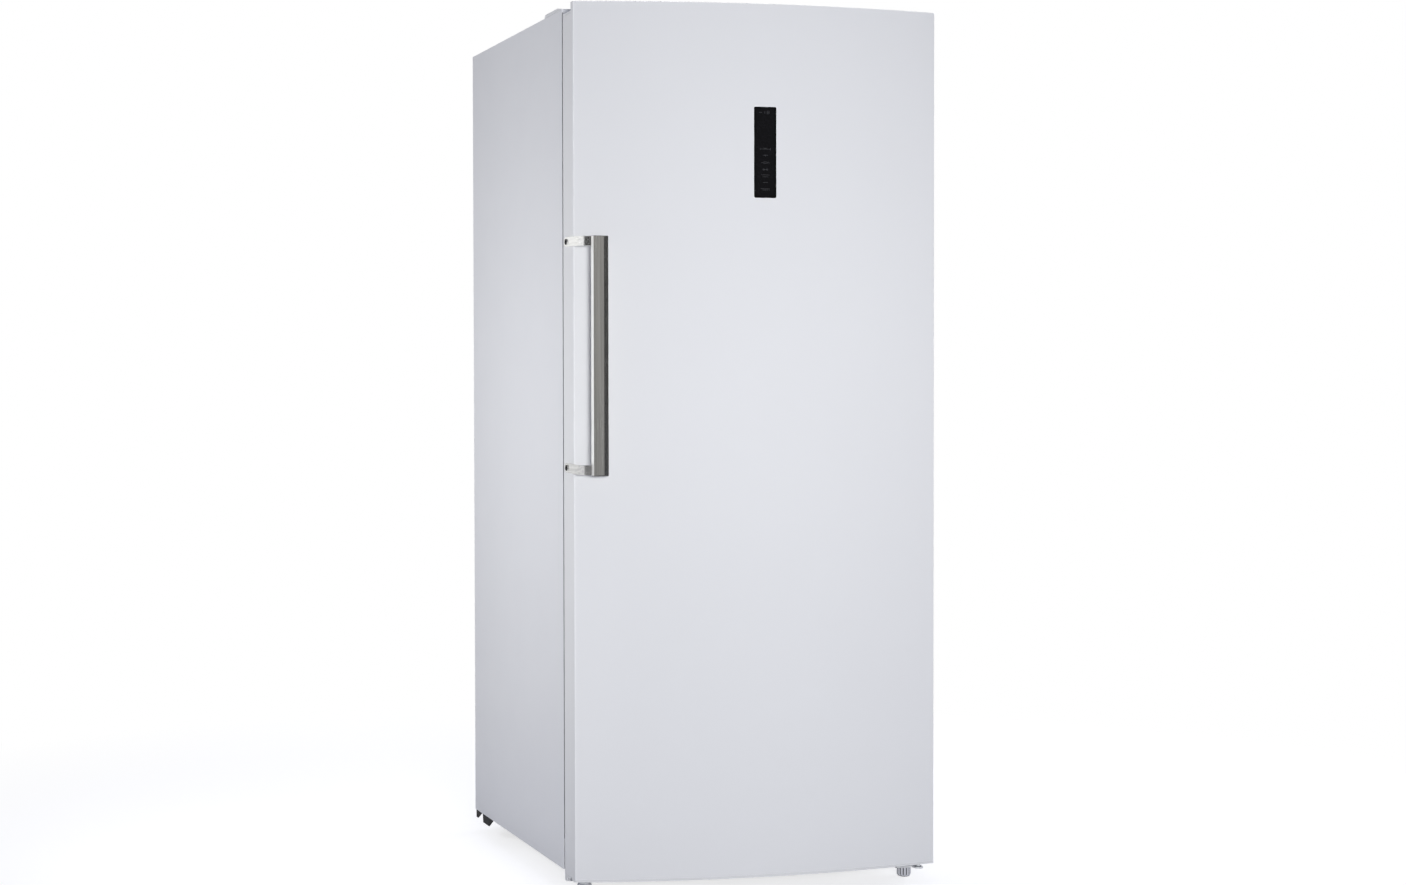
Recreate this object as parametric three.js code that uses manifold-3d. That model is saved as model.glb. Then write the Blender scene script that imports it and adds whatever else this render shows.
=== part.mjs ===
// Upright freezer: one bowed, insulated door on a foamed steel cabinet, with glass shelves,
// drawers and a fan-cooled evaporator inside and the compressor in a bay at the bottom rear.
// Millimetres, +Z up. X runs along the door's width, Y from the door towards the back.
// While modelling, X = 0 is the middle of the width, Y = 0 the door's front corner line and
// Z = 0 the floor. The finished group is moved so that its box stands centred on the origin.

import * as THREE from 'three';
import { mergeVertices } from 'three/addons/utils/BufferGeometryUtils.js';
import Module from 'manifold-3d';

const wasm = await Module();
wasm.setup();

// ---- Driving dimensions ------------------------------------------------------------------

// Common stock and fits
const SEAT = 0.3; // gap kept between touching pieces
const RUNNING = 0.5; // radial clearance of a turning piece
const STEEL = 0.8; // outer sheet steel
const PLATE = 3; // hinge and foot bracket plate
const LINER = 2; // vacuum-formed inner liners
const COVER_CLEARANCE = 1; // kept round what a cover hides
const OVER = 1; // how far a cutting or joining shape runs past a face
const END_FLAT = 1; // flat left between the two corners at a slot's or rib's end

// Overall
const WIDTH = 711;
const DOOR_LIFT = 34; // floor to the door's bottom edge
const DOOR_RISE = 5; // door's top above the cabinet's top
const DOOR_EDGE = 62; // door thickness at its sides
const DOOR_BOW = 39; // how far the front bulges at mid width
const DOOR_CORNER = 4; // rounding of the two front vertical edges
const DOOR_GAP = 6.7; // door to cabinet, filled by the gasket
const CABINET_LIFT = 44.4; // floor to the cabinet's bottom edge
const CABINET_HEIGHT = 1589.6;
const CABINET_DEPTH = 639;
const FRONT_FLANGE = 30; // steel flange turned in round the cabinet's front

// Storage space
const SIDE_WALL = 62; // outside to inside of a side wall
const FLOOR_WALL = 69.6;
const CEILING_WALL = 70;
const BACK_WALL = 68;

// Compressor bay at the bottom rear
const BAY_DEPTH = 217;
const BAY_TOP = 254; // floor to the bay's ceiling
const BAY_WALL = 55; // insulation between the bay and the storage space

// Front bottom rail
const RAIL_DEPTH = 41;
const RAIL_TOP = 100;
const RAIL_STEP_HEIGHT = 75; // below this the rail's face is set back for the brackets
const RAIL_STEP = 3.5;
const RAIL_SHEET = 1.2;

// Cover over the upper hinge
const COVER_START = 3.4; // behind the cabinet's front
const COVER_SLOPE = 25;
const COVER_DEPTH = 105;
const COVER_RISE = 6;
const COVER_WALL = 1.6;

// Door hinge
const PIN_INSET = 18; // hinge axis from the door's right side
const PIN_BACK = 30; // hinge axis behind the door's front corner line
const PIN_RADIUS = 4;
const UPPER_PIN_LENGTH = 22;
const LOWER_PIN_LENGTH = 29;
const ARM_WIDTH = 28;
const ARM_RIGHT = 3.5; // arm's right edge from the pin's axis, inside the swing of the door's lip
const ARM_PIN_RADIUS = 12;
const ARM_REACH = 100; // how far the upper arm lies on the cabinet top
const PIN_BOSS = 9; // radius of the boss round the upper pin
const BRACKET_UNDERSIDE = 19.5; // floor to the underside of the lower brackets
const BRACKET_INNER = 59; // lower brackets' inner edges from the cabinet's sides
const BRACKET_FRONT = 37; // lower brackets' front edges behind the door's corner line
const BRACKET_EYE = 9; // radius of the hinge bracket's tip round the lower pin
const FOOT_BRACKET_OUTER = 24.5; // left foot bracket's outer edge from the cabinet's side
const BRACKET_FLANGE_TOP = 72; // floor to the top of the screwed-on flange

// Levelling feet
const FOOT_INSET = 35.5; // foot axis from the cabinet's side
const FOOT_BACK = 56; // foot axis behind the door's front corner line
const FOOT_RADIUS = 13.5;
const FOOT_PAD = 3.5;
const FOOT_PAD_TAPER = 2.5;
const FOOT_FLUTES = 16;
const FLUTE_DEPTH = 1;
const STUD_RADIUS = 5;
const STUD_TOP = 24.5;

// Rear rollers
const ROLLER_RADIUS = 20;
const ROLLER_WIDTH = 18;
const ROLLER_INSET = 66; // roller's outer face from the cabinet's side
const ROLLER_FROM_BACK = 24;
const ROLLER_CHAMFER = 2;
const AXLE_RADIUS = 4;
const AXLE_END = 2; // axle standing out past its ears
const AXLE_HEAD = 1.5;
const AXLE_HEAD_RADIUS = 6;
const EAR_WIDTH = 26;
const EAR_SHEET = 2;
const EAR_GAP = 1.5; // side play of a roller

// Base tray and its side skids
const TRAY_HEIGHT = 50; // floor to the tray's underside
const TRAY_SHEET = 2;
const SKID_BOTTOM = 26;
const SKID_NOTCH = 44; // floor to the gap between the two skid teeth
const SKID_INSET = 2; // tray and skids from the bay's front and rear
const TOOTH_START = 80; // first tooth behind the bay's front
const TOOTH_SLANT = 33;
const TOOTH_LENGTH = 46;
const TOOTH_HEEL = 4;
const TOOTH_GAP = 6;
const HEEL_RISE = 2; // rear tooth above the front one

// Door caps, gasket and inner door
const CAP_FLANGE = 4;
const CAP_PLUG = 20;
const LIP_THICKNESS = 14; // front lip left standing round the hinge recess
const RECESS_DEPTH = 15;
const SKIRT_DROP = 7.5;
const SKIRT_THICKNESS = 14;
const GROOVE_START = 19; // drip groove under the bottom cap
const GROOVE_WIDTH = 14;
const GROOVE_DEPTH = 3;
const DOOR_FLANGE = 43; // steel returned behind the door, which carries the gasket
const GASKET_INSET = 21.5;
const GASKET_WIDTH = 20;
const GASKET_LIP = 2;
const GASKET_WAIST = 3; // depth of the groove round the gasket
const GASKET_TOP = 27; // gasket's outer edge below the door's top
const GASKET_BOTTOM = 44; // gasket's outer edge above the door's bottom
const DIKE_CLEARANCE = 14; // inner door ridge to the storage wall
const DIKE_WIDTH = 22;
const DIKE_REACH = 26; // ridge into the storage space

// Door bins
const BIN_REACH = 82; // bin front behind the cabinet's front
const BIN_HEIGHT = 92;
const BIN_WALL = 2.5;
const BIN_CORNER = 30;
const BIN_COUNT = 4;
const BIN_START = 20; // lowest bin above the inner door's ridge
const BIN_SIDE_GAP = 1;

// Handle
const BAR_DROP = 427; // bar's top below the door's top
const BAR_LENGTH = 433;
const BAR_WIDTH = 29.8;
const BAR_DEPTH = 16;
const BAR_INSET = 20.2; // bar's outer face from the door's side
const BAR_STANDOFF = 40; // bar's back in front of the door's corner line
const BAR_CROWN = 1.5;
const BAR_BEVEL = 9;
const STRAP_HEIGHT = 20.5;
const STRAP_SHEET = 3;
const STRAP_TAIL = 48; // strap's rounded tail behind the door's corner line
const STRAP_BEND = 4; // behind the corner line, where the strap starts to bend
const STRAP_EASE = 22; // ahead of the corner line, pull of the bend's first half
const STRAP_LEAN = 6; // inwards of the door's side, pull of its second half
const SCREW_BACK = 38;
const SCREW_RADIUS = 2;
const SCREW_HEAD = 4.4;
const SCREW_HEAD_HEIGHT = 1.6;
const SCREW_LENGTH = 10;
const SOCKET_RADIUS = 2;
const SOCKET_DEPTH = 1.2;

// Display on the door
const DISPLAY_WIDTH = 43;
const DISPLAY_HEIGHT = 166;
const DISPLAY_DROP = 188; // glass's top below the door's top
const DISPLAY_CORNER = 3;
const DISPLAY_PROUD = 0.5;
const DISPLAY_GLASS = 2.4;
const HOUSING_MARGIN = 8;
const HOUSING_DEPTH = 21;

// Shelves and drawers
const SHELF_COUNT = 3;
const SHELF_START = 24; // lowest glass's top above the top drawer
const GLASS = 4;
const SHELF_FRONT = 100; // shelves and drawer fronts behind the cabinet's front
const SHELF_SIDE_GAP = 3;
const SHELF_BACK_GAP = 3;
const LEDGE_REACH = 10;
const LEDGE_HEIGHT = 6;
const TRIM_DEPTH = 22;
const TRIM_HEIGHT = 16;
const TRIM_WALL = 2.5;
const TRIM_CORNER = 2;
const DRAWER_COUNT = 3;
const DRAWER_START = 4; // lowest drawer above the storage floor
const DRAWER_GAP = 27; // between one drawer's top and the next one's underside
const DRAWER_HEIGHT = 172;
const DRAWER_CORNER = 12;
const DRAWER_FRONT_CORNER = 8;
const DRAWER_BACK_GAP = 6;
const DRAWER_RIM_DROP = 22; // drawer's runner rim below its top
const DRAWER_WALL = 2.5;
const DRAWER_SIDE_GAP = 16;
const DRAWER_FRONT_SIDE_GAP = 5;
const RIM_REACH = 11;
const RUNNER_REACH = 12;
const GRIP_WIDTH = 150;
const GRIP_REACH = 9;
const GRIP_SHEET = 3;
const GRIP_DROP = 20; // grip's top below the drawer's top
const GRIP_LIP = 16;

// Evaporator, its cover and its fan
const DUCT_DEPTH = 82; // cover's front ahead of the storage back wall
const DUCT_WALL = 2.5;
const SLOT_LENGTH = 110;
const SLOT_HEIGHT = 7;
const SLOT_PITCH = 16;
const SLOT_ROWS = 3;
const SLOT_OFFSET = 140; // slot centres from the middle
const SLOT_DROP = 66; // top slot below the ceiling or the shelf above it
const RETURN_RISE = 41; // return slots above the step over the bay
const RETURN_COUNT = 14;
const RETURN_PITCH = 36;
const RETURN_WIDTH = 8;
const RETURN_HEIGHT = 40;
const COIL_WIDTH = 440;
const COIL_RISE = 91; // lowest pass above the step over the bay
const COIL_PASSES = 6;
const COIL_PITCH = 38;
const COIL_TUBE = 4;
const COIL_TUBE_SIDES = 6;
const BEND_STEPS = 4;
const COIL_BACK_GAP = 30; // tube centres ahead of the storage back wall
const FIN_COUNT = 9;
const FIN_SHEET = 1.2;
const FIN_DEPTH = 50;
const FIN_MARGIN = 18;
const HEATER_DROP = 34;
const HEATER_RADIUS = 4;
const HEATER_STUB = 20; // turned-up ends that hang the heater on the coil's end fins
const FAN_RISE = 192; // fan's axis above the top of the fins
const FAN_RADIUS = 55;
const FAN_HUB = 15;
const FAN_HUB_DEPTH = 18;
const FAN_BLADES = 5;
const FAN_PITCH = 28; // blade angle in degrees
const FAN_BLADE_SHEET = 1.6;
const FAN_CHORD = 30;
const FAN_GAP = 12; // hub to motor
const FAN_HOLE_GAP = 6;
const FAN_GUARD_WIRE = 3;
const MOTOR_RADIUS = 26;
const MOTOR_DEPTH = 24;
const MOTOR_ARM = 70;
const MOTOR_ARM_HEIGHT = 12;
const MOTOR_ARM_SHEET = 4;
const SHAFT_RADIUS = 3;
const SHAFT_ENGAGEMENT = 10;

// Lamp
const LAMP_WIDTH = 120;
const LAMP_DEPTH = 50;
const LAMP_DROP = 12;
const LAMP_BACK = 60; // lamp's front edge behind the shelf fronts
const LAMP_CORNER = 10;
const LENS_INSET = 4;

// Compressor group
const COMPRESSOR_X = 150;
const COMPRESSOR_RADIUS = 72;
const COMPRESSOR_HALF_DEPTH = 62; // the housing is oval
const COMPRESSOR_HEIGHT = 150;
const COMPRESSOR_DOME = 32;
const DOME_STEPS = 5;
const COMPRESSOR_SEAM = 4; // weld seam's half width
const SEAM_RISE = 3;
const FOOT_PLATE = 3;
const FOOT_PLATE_WIDTH = 190;
const FOOT_PLATE_DEPTH = 120;
const GROMMET_RADIUS = 11;
const GROMMET_WAIST = 8;
const GROMMET_FLANGE = 3.6;
const GROMMET_HEIGHT = 12;
const GROMMET_PITCH_X = 160;
const GROMMET_PITCH_Y = 92;
const RELAY_WIDTH = 46;
const RELAY_DEPTH = 60;
const RELAY_HEIGHT = 64;
const RELAY_OVERLAP = 8; // how far the box reaches in past the housing's side
const RELAY_RISE = 12;
const RELAY_CORNER = 5;
const DRAIN_TRAY_WIDTH = 190;
const DRAIN_TRAY_DEPTH = 130;
const DRAIN_TRAY_HEIGHT = 22;
const DRAIN_TRAY_WALL = 2;
const DRAIN_TRAY_CORNER = 12;
const LINE_RADIUS = 4;
const LINE_X = -110;
const LINE_LEVEL = 120;
const LINE_BEND = 40;
const LINE_ANGLE = 44; // where it leaves the oval housing, in degrees from its left end

// Rear cover of the bay
const REAR_COVER_SHEET = 1.2;
const REAR_COVER_SIDE_GAP = 3;
const LOUVRE_COUNT = 12;
const LOUVRE_PITCH = 34;
const LOUVRE_WIDTH = 10;
const LOUVRE_HEIGHT = 110;
const GLAND_RADIUS = 11;
const GLAND_NECK = 8;
const GLAND_COLLAR = 4;
const GLAND_BORE = 4.5;
const GLAND_LENGTH = 16;
const GLAND_INSET = 65.5; // gland's axis from the cabinet's left side
const GLAND_LEVEL = 90;

// Back panel
const BACK_RIB_COUNT = 7;
const BACK_RIB_WIDTH = 14;
const BACK_RIB_RISE = 1.2;
const BACK_RIB_MARGIN = 42; // rib's end from the panel's edge

// ---- Values worked out from them -----------------------------------------------------------

const HALF = WIDTH / 2;
const CABINET_TOP = CABINET_LIFT + CABINET_HEIGHT;
const DOOR_TOP = CABINET_TOP + DOOR_RISE;
const BOW_RADIUS = (HALF ** 2 + DOOR_BOW ** 2) / (2 * DOOR_BOW);
const FRONT = DOOR_EDGE + DOOR_GAP; // the cabinet's front plane
const BACK = FRONT + CABINET_DEPTH;
const INNER_HALF = HALF - SIDE_WALL;
const SPACE_FLOOR = CABINET_LIFT + FLOOR_WALL;
const SPACE_CEILING = CABINET_TOP - CEILING_WALL;
const SPACE_BACK = BACK - BACK_WALL;
const BAY_FRONT = BACK - BAY_DEPTH;
const STEP_FRONT = BAY_FRONT - BAY_WALL;
const STEP_TOP = BAY_TOP + BAY_WALL;
const PIN_X = HALF - PIN_INSET;
const PIN_Y = PIN_BACK;
const ARM_UNDERSIDE = CABINET_TOP + SEAT;
const RECESS_FLOOR = DOOR_TOP - RECESS_DEPTH;
const SHELF_Y = FRONT + SHELF_FRONT;
const DUCT_FRONT = SPACE_BACK - DUCT_DEPTH;
const DOOR_BACK = DOOR_EDGE + SEAT; // where the inner door and the gasket start
const DIKE_HALF = INNER_HALF - DIKE_CLEARANCE;
const DIKE_BOTTOM = SPACE_FLOOR + DIKE_CLEARANCE;
const DIKE_TOP = SPACE_CEILING - DIKE_CLEARANCE;
const BAR_LEFT = -HALF + BAR_INSET;
const BAR_BACK = -BAR_STANDOFF;
const BAR_FRONT = BAR_BACK - BAR_DEPTH;
const BAR_BOTTOM = DOOR_TOP - BAR_DROP - BAR_LENGTH;
const STRAP_OUTER = -HALF - SEAT - STRAP_SHEET;
const ROLLER_Y = BACK - ROLLER_FROM_BACK;
const TRAY_TOP = TRAY_HEIGHT + TRAY_SHEET;
const COMPRESSOR_Y = BAY_FRONT + BAY_DEPTH / 2;
const COMPRESSOR_BASE = TRAY_TOP + SEAT + GROMMET_HEIGHT + SEAT;
const COMPRESSOR_TOP = COMPRESSOR_BASE + FOOT_PLATE + COMPRESSOR_HEIGHT;
const COIL_Y = SPACE_BACK - COIL_BACK_GAP;
const COIL_BOTTOM = STEP_TOP + COIL_RISE;
const FIN_BOTTOM = COIL_BOTTOM - FIN_MARGIN;
const FIN_TOP = COIL_BOTTOM + (COIL_PASSES - 1) * COIL_PITCH + FIN_MARGIN;
const FAN_LEVEL = FIN_TOP + FAN_RISE;
const GLAND_X = -HALF + GLAND_INSET;
const FAN_Y = SPACE_BACK - MOTOR_DEPTH - FAN_GAP - FAN_HUB_DEPTH / 2;
const DISPLAY_BOTTOM = DOOR_TOP - DISPLAY_DROP - DISPLAY_HEIGHT;

// Evenly spaced heights, from the lowest up.
function levels(count, start, pitch) {
  return Array.from({ length: count }, (_, i) => start + i * pitch);
}

// Undersides of the drawers and bins, and the tops of the glass shelves, which share the
// height above the drawers.
const DRAWER_LEVELS = levels(
  DRAWER_COUNT,
  SPACE_FLOOR + DRAWER_START,
  DRAWER_HEIGHT + DRAWER_GAP,
);
const LOWEST_SHELF = DRAWER_LEVELS[DRAWER_COUNT - 1] + DRAWER_HEIGHT + SHELF_START;
const SHELF_LEVELS = levels(
  SHELF_COUNT,
  LOWEST_SHELF,
  (SPACE_CEILING - LOWEST_SHELF) / SHELF_COUNT,
);
const BIN_LEVELS = levels(
  BIN_COUNT,
  DIKE_BOTTOM + DIKE_WIDTH + BIN_START,
  (DIKE_TOP - DIKE_BOTTOM - 2 * DIKE_WIDTH) / BIN_COUNT,
);

// ---- Finishes ------------------------------------------------------------------------------

function finish(color, roughness, metalness) {
  return new THREE.MeshStandardMaterial({ color, roughness, metalness });
}

const WHITE_STEEL = finish(0xe4e6e9, 0.35, 0.1);
const SIDE_STEEL = finish(0xd6d8de, 0.4, 0.1);
const WHITE_PLASTIC = finish(0xe6e7e8, 0.5, 0);
const LINER_WHITE = finish(0xf2f3f3, 0.4, 0);
const FOAM = finish(0xe6d9a8, 0.95, 0);
const ZINC = finish(0xb9bcc0, 0.4, 0.8);
const BRACKET_WHITE = finish(0xd9dbdd, 0.4, 0.3);
const BLACK_STEEL = finish(0x1c1d20, 0.5, 0.3);
const BLACK_PLASTIC = finish(0x17181a, 0.5, 0);
const BLACK_GLASS = finish(0x08090b, 0.08, 0);
const BRUSHED = finish(0xb2b0a8, 0.32, 0.9);
const CLEAR = finish(0xcfe0ea, 0.15, 0);
const GLASS_GREEN = finish(0xc4dcd6, 0.08, 0);
const RUBBER = finish(0xb4b6ba, 0.8, 0);
const DARK_RUBBER = finish(0x222222, 0.85, 0);
const ALUMINIUM = finish(0xc3c6c9, 0.35, 0.9);
const COPPER = finish(0xb06a3d, 0.35, 0.9);
const FOOT_GREY = finish(0x9fa1a8, 0.55, 0);
const LAMP_WHITE = finish(0xf8f8f2, 0.3, 0);

// ---- Shape helpers -------------------------------------------------------------------------

// A closed solid for cutting and joining, from any closed three.js geometry.
function solid(geometry) {
  geometry.deleteAttribute('normal');
  geometry.deleteAttribute('uv');
  const merged = mergeVertices(geometry, 1e-3);
  const vertProperties = new Float32Array(merged.attributes.position.array);
  const triVerts = new Uint32Array(merged.index.array);
  return new wasm.Manifold(new wasm.Mesh({ numProp: 3, vertProperties, triVerts }));
}

function joined(solids) {
  return solids.reduce((sum, next) => sum.add(next));
}

// An axis-aligned block between two values on each axis.
function block(x0, x1, y0, y1, z0, z1) {
  const geometry = new THREE.BoxGeometry(x1 - x0, y1 - y0, z1 - z0);
  geometry.translate((x0 + x1) / 2, (y0 + y1) / 2, (z0 + z1) / 2);
  return solid(geometry);
}

function asShape(outline) {
  if (outline instanceof THREE.Shape) return outline;
  return new THREE.Shape(outline.map(([a, b]) => new THREE.Vector2(a, b)));
}

function extruded(outline, depth, segments) {
  const options = { depth, bevelEnabled: false, curveSegments: segments };
  return new THREE.ExtrudeGeometry(asShape(outline), options);
}

// A plan outline (x, y) raised from z0 to z1.
function prismZ(outline, z0, z1, segments = 2) {
  const geometry = extruded(outline, z1 - z0, segments);
  geometry.translate(0, 0, z0);
  return solid(geometry);
}

// A side outline (y, z) run from x0 to x1.
function prismX(outline, x0, x1, segments = 2) {
  const geometry = extruded(outline, x1 - x0, segments);
  const turn = new THREE.Matrix4().makeBasis(
    new THREE.Vector3(0, 1, 0),
    new THREE.Vector3(0, 0, 1),
    new THREE.Vector3(1, 0, 0),
  );
  geometry.applyMatrix4(turn);
  geometry.translate(x0, 0, 0);
  return solid(geometry);
}

// A front outline (x, z) run from y0 to y1.
function prismY(outline, y0, y1, segments = 2) {
  const geometry = extruded(outline, y1 - y0, segments);
  const turn = new THREE.Matrix4().makeBasis(
    new THREE.Vector3(1, 0, 0),
    new THREE.Vector3(0, 0, 1),
    new THREE.Vector3(0, -1, 0),
  );
  geometry.applyMatrix4(turn);
  geometry.translate(0, y1, 0);
  return solid(geometry);
}

function rodZ(x, y, radius, z0, z1, sides = 20) {
  const geometry = new THREE.CylinderGeometry(radius, radius, z1 - z0, sides);
  geometry.rotateX(Math.PI / 2);
  geometry.translate(x, y, (z0 + z1) / 2);
  return solid(geometry);
}

function rodX(y, z, radius, x0, x1, sides = 20) {
  const geometry = new THREE.CylinderGeometry(radius, radius, x1 - x0, sides);
  geometry.rotateZ(Math.PI / 2);
  geometry.translate((x0 + x1) / 2, y, z);
  return solid(geometry);
}

function rodY(x, z, radius, y0, y1, sides = 20) {
  const geometry = new THREE.CylinderGeometry(radius, radius, y1 - y0, sides);
  geometry.translate(x, (y0 + y1) / 2, z);
  return solid(geometry);
}

function roundedRect(a0, a1, b0, b1, radius) {
  const shape = new THREE.Shape();
  shape.absarc(a1 - radius, b0 + radius, radius, -Math.PI / 2, 0);
  shape.absarc(a1 - radius, b1 - radius, radius, 0, Math.PI / 2);
  shape.absarc(a0 + radius, b1 - radius, radius, Math.PI / 2, Math.PI);
  shape.absarc(a0 + radius, b0 + radius, radius, Math.PI, 1.5 * Math.PI);
  return shape;
}

// A rectangle as a list of corner points.
function rect(a0, a1, b0, b1) {
  return [[a0, b0], [a1, b0], [a1, b1], [a0, b1]];
}

// The outline of a sheet: an open path and the same path moved to its left by the thickness.
function strip(path, thickness) {
  const points = path.map(([a, b]) => new THREE.Vector2(a, b));
  const moved = points.map((point, i) => {
    const before = i > 0 ? point.clone().sub(points[i - 1]).normalize() : null;
    const after = i < points.length - 1 ? points[i + 1].clone().sub(point).normalize() : null;
    const along = (before || after).clone().add(after || before).normalize();
    const normal = new THREE.Vector2(-along.y, along.x);
    const first = before || after;
    const mitre = normal.dot(new THREE.Vector2(-first.y, first.x));
    return point.clone().addScaledVector(normal, thickness / mitre);
  });
  return [...points, ...moved.reverse()].map((point) => [point.x, point.y]);
}

// A round tube along a curve.
function tube(curve, radius, steps, sides = 8) {
  const section = new THREE.Shape();
  section.absarc(0, 0, radius, 0, 2 * Math.PI);
  const ring = new THREE.Shape(section.getSpacedPoints(sides).slice(0, sides));
  const options = { steps, bevelEnabled: false, extrudePath: curve };
  return solid(new THREE.ExtrudeGeometry(ring, options));
}

const freezer = new THREE.Group();

function place(name, body, material) {
  const { vertProperties, triVerts } = body.getMesh();
  const geometry = new THREE.BufferGeometry();
  geometry.setAttribute('position', new THREE.BufferAttribute(vertProperties, 3));
  geometry.setIndex(new THREE.BufferAttribute(triVerts, 1));
  geometry.computeVertexNormals();
  const mesh = new THREE.Mesh(geometry, material);
  mesh.name = name;
  freezer.add(mesh);
}

// ---- Door outline --------------------------------------------------------------------------

// Depth of the bowed front at x, moved inwards by the inset.
function bowY(x, inset = 0) {
  return BOW_RADIUS - DOOR_BOW - Math.sqrt((BOW_RADIUS - inset) ** 2 - x ** 2);
}

const BOW_STEPS = 20;

// Plan of the door, shrunk by the inset at its front and sides, closed at y = back.
function doorOutline(inset, back) {
  const side = HALF - inset;
  const round = DOOR_CORNER - inset;
  const cornerY = bowY(side, inset);
  const shape = new THREE.Shape();
  shape.moveTo(-side, back);
  shape.lineTo(-side, cornerY + round);
  shape.quadraticCurveTo(-side, cornerY, -side + round, bowY(side - round, inset));
  for (let i = 1; i <= BOW_STEPS; i += 1) {
    const x = (side - round) * ((2 * i) / BOW_STEPS - OVER);
    shape.lineTo(x, bowY(x, inset));
  }
  shape.quadraticCurveTo(side, cornerY, side, cornerY + round);
  shape.lineTo(side, back);
  return shape;
}

// Everything behind a line that follows the bowed front at the given distance.
function behindBow(inset, back) {
  const points = [];
  for (let i = 0; i <= BOW_STEPS; i += 1) {
    const x = HALF * ((2 * i) / BOW_STEPS - OVER);
    points.push([x, bowY(x, inset)]);
  }
  const edge = points[0][1];
  return [[-HALF - OVER, edge], ...points, [HALF + OVER, edge], [HALF + OVER, back], [-HALF - OVER, back]];
}

// ---- Cabinet -------------------------------------------------------------------------------

// The storage space seen from the side, grown outwards, with the step over the bay.
function spaceProfile(grow, front) {
  return [
    [front, SPACE_FLOOR - grow],
    [STEP_FRONT + grow, SPACE_FLOOR - grow],
    [STEP_FRONT + grow, STEP_TOP - grow],
    [SPACE_BACK + grow, STEP_TOP - grow],
    [SPACE_BACK + grow, SPACE_CEILING + grow],
    [front, SPACE_CEILING + grow],
  ];
}

function makeWrapper() {
  const shell = prismY(rect(-HALF, HALF, CABINET_LIFT, CABINET_TOP), FRONT, BACK);
  const hollow = rect(-HALF + STEEL, HALF - STEEL, CABINET_LIFT - OVER, CABINET_TOP - STEEL);
  const frame = prismY(rect(-HALF, HALF, CABINET_LIFT, CABINET_TOP), FRONT, FRONT + STEEL);
  const opening = rect(
    -HALF + FRONT_FLANGE,
    HALF - FRONT_FLANGE,
    CABINET_LIFT - OVER,
    CABINET_TOP - FRONT_FLANGE,
  );
  const flange = frame
    .subtract(prismY(opening, FRONT - OVER, FRONT + STEEL + OVER))
    .subtract(block(-HALF + STEEL, HALF - STEEL, FRONT - OVER, FRONT + STEEL + OVER, 0, RAIL_TOP + SEAT));
  const open = shell.subtract(prismY(hollow, FRONT - OVER, BACK + OVER));
  place('cabinet_wrapper', open.add(flange), SIDE_STEEL);
}

function makeBackPanel() {
  const side = HALF - STEEL - SEAT;
  const face = BACK - BACK_RIB_RISE;
  const bottom = BAY_TOP + 2 * SEAT + STEEL;
  const top = CABINET_TOP - STEEL - SEAT;
  const sheet = block(-side, side, face - STEEL, face, bottom, top);
  const pitch = (2 * side) / BACK_RIB_COUNT;
  const ribs = [];
  for (let i = 0; i < BACK_RIB_COUNT; i += 1) {
    const x = -side + pitch * (i + 0.5);
    const outline = roundedRect(
      x - BACK_RIB_WIDTH / 2,
      x + BACK_RIB_WIDTH / 2,
      bottom + BACK_RIB_MARGIN,
      top - BACK_RIB_MARGIN,
      (BACK_RIB_WIDTH - END_FLAT) / 2,
    );
    ribs.push(prismY(outline, face - STEEL / 2, BACK, 1));
  }
  place('back_panel', joined([sheet, ...ribs]), ZINC);
}

// One bent sheet: under the storage space, up the bay's front and over the bay.
function makeStepPanel() {
  const side = HALF - STEEL - SEAT;
  const path = [
    [FRONT + RAIL_DEPTH + SEAT, CABINET_LIFT],
    [BAY_FRONT, CABINET_LIFT],
    [BAY_FRONT, BAY_TOP],
    [BACK - BACK_RIB_RISE - STEEL - SEAT, BAY_TOP],
  ];
  place('step_panel', prismX(strip(path, STEEL), -side, side), ZINC);
}

function makeInsulation() {
  const side = HALF - STEEL - SEAT;
  const front = FRONT + LINER + SEAT;
  const rail = FRONT + RAIL_DEPTH + 2 * SEAT;
  const back = BACK - BACK_RIB_RISE - STEEL - SEAT;
  const under = CABINET_LIFT + STEEL + SEAT;
  const over = BAY_TOP + STEEL + SEAT;
  const profile = [
    [front, RAIL_TOP + SEAT],
    [rail, RAIL_TOP + SEAT],
    [rail, under],
    [BAY_FRONT - STEEL - SEAT, under],
    [BAY_FRONT - STEEL - SEAT, over],
    [back, over],
    [back, CABINET_TOP - STEEL - SEAT],
    [front, CABINET_TOP - STEEL - SEAT],
  ];
  const grow = LINER + SEAT;
  const space = prismX(spaceProfile(grow, FRONT - OVER), -INNER_HALF - grow, INNER_HALF + grow);
  place('cabinet_insulation', prismX(profile, -side, side).subtract(space), FOAM);
}

// Ledge on both side walls of the storage space, with its top at the given height.
function ledges(top, reach, y1) {
  const y0 = SHELF_Y + TRIM_DEPTH + SEAT;
  const right = block(INNER_HALF - reach, INNER_HALF + LINER / 2, y0, y1, top - LEDGE_HEIGHT, top);
  const left = block(-INNER_HALF - LINER / 2, -INNER_HALF + reach, y0, y1, top - LEDGE_HEIGHT, top);
  return [left, right];
}

function drawerRunnerLevel(level) {
  return level + DRAWER_HEIGHT - DRAWER_RIM_DROP - SEAT;
}

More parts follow.
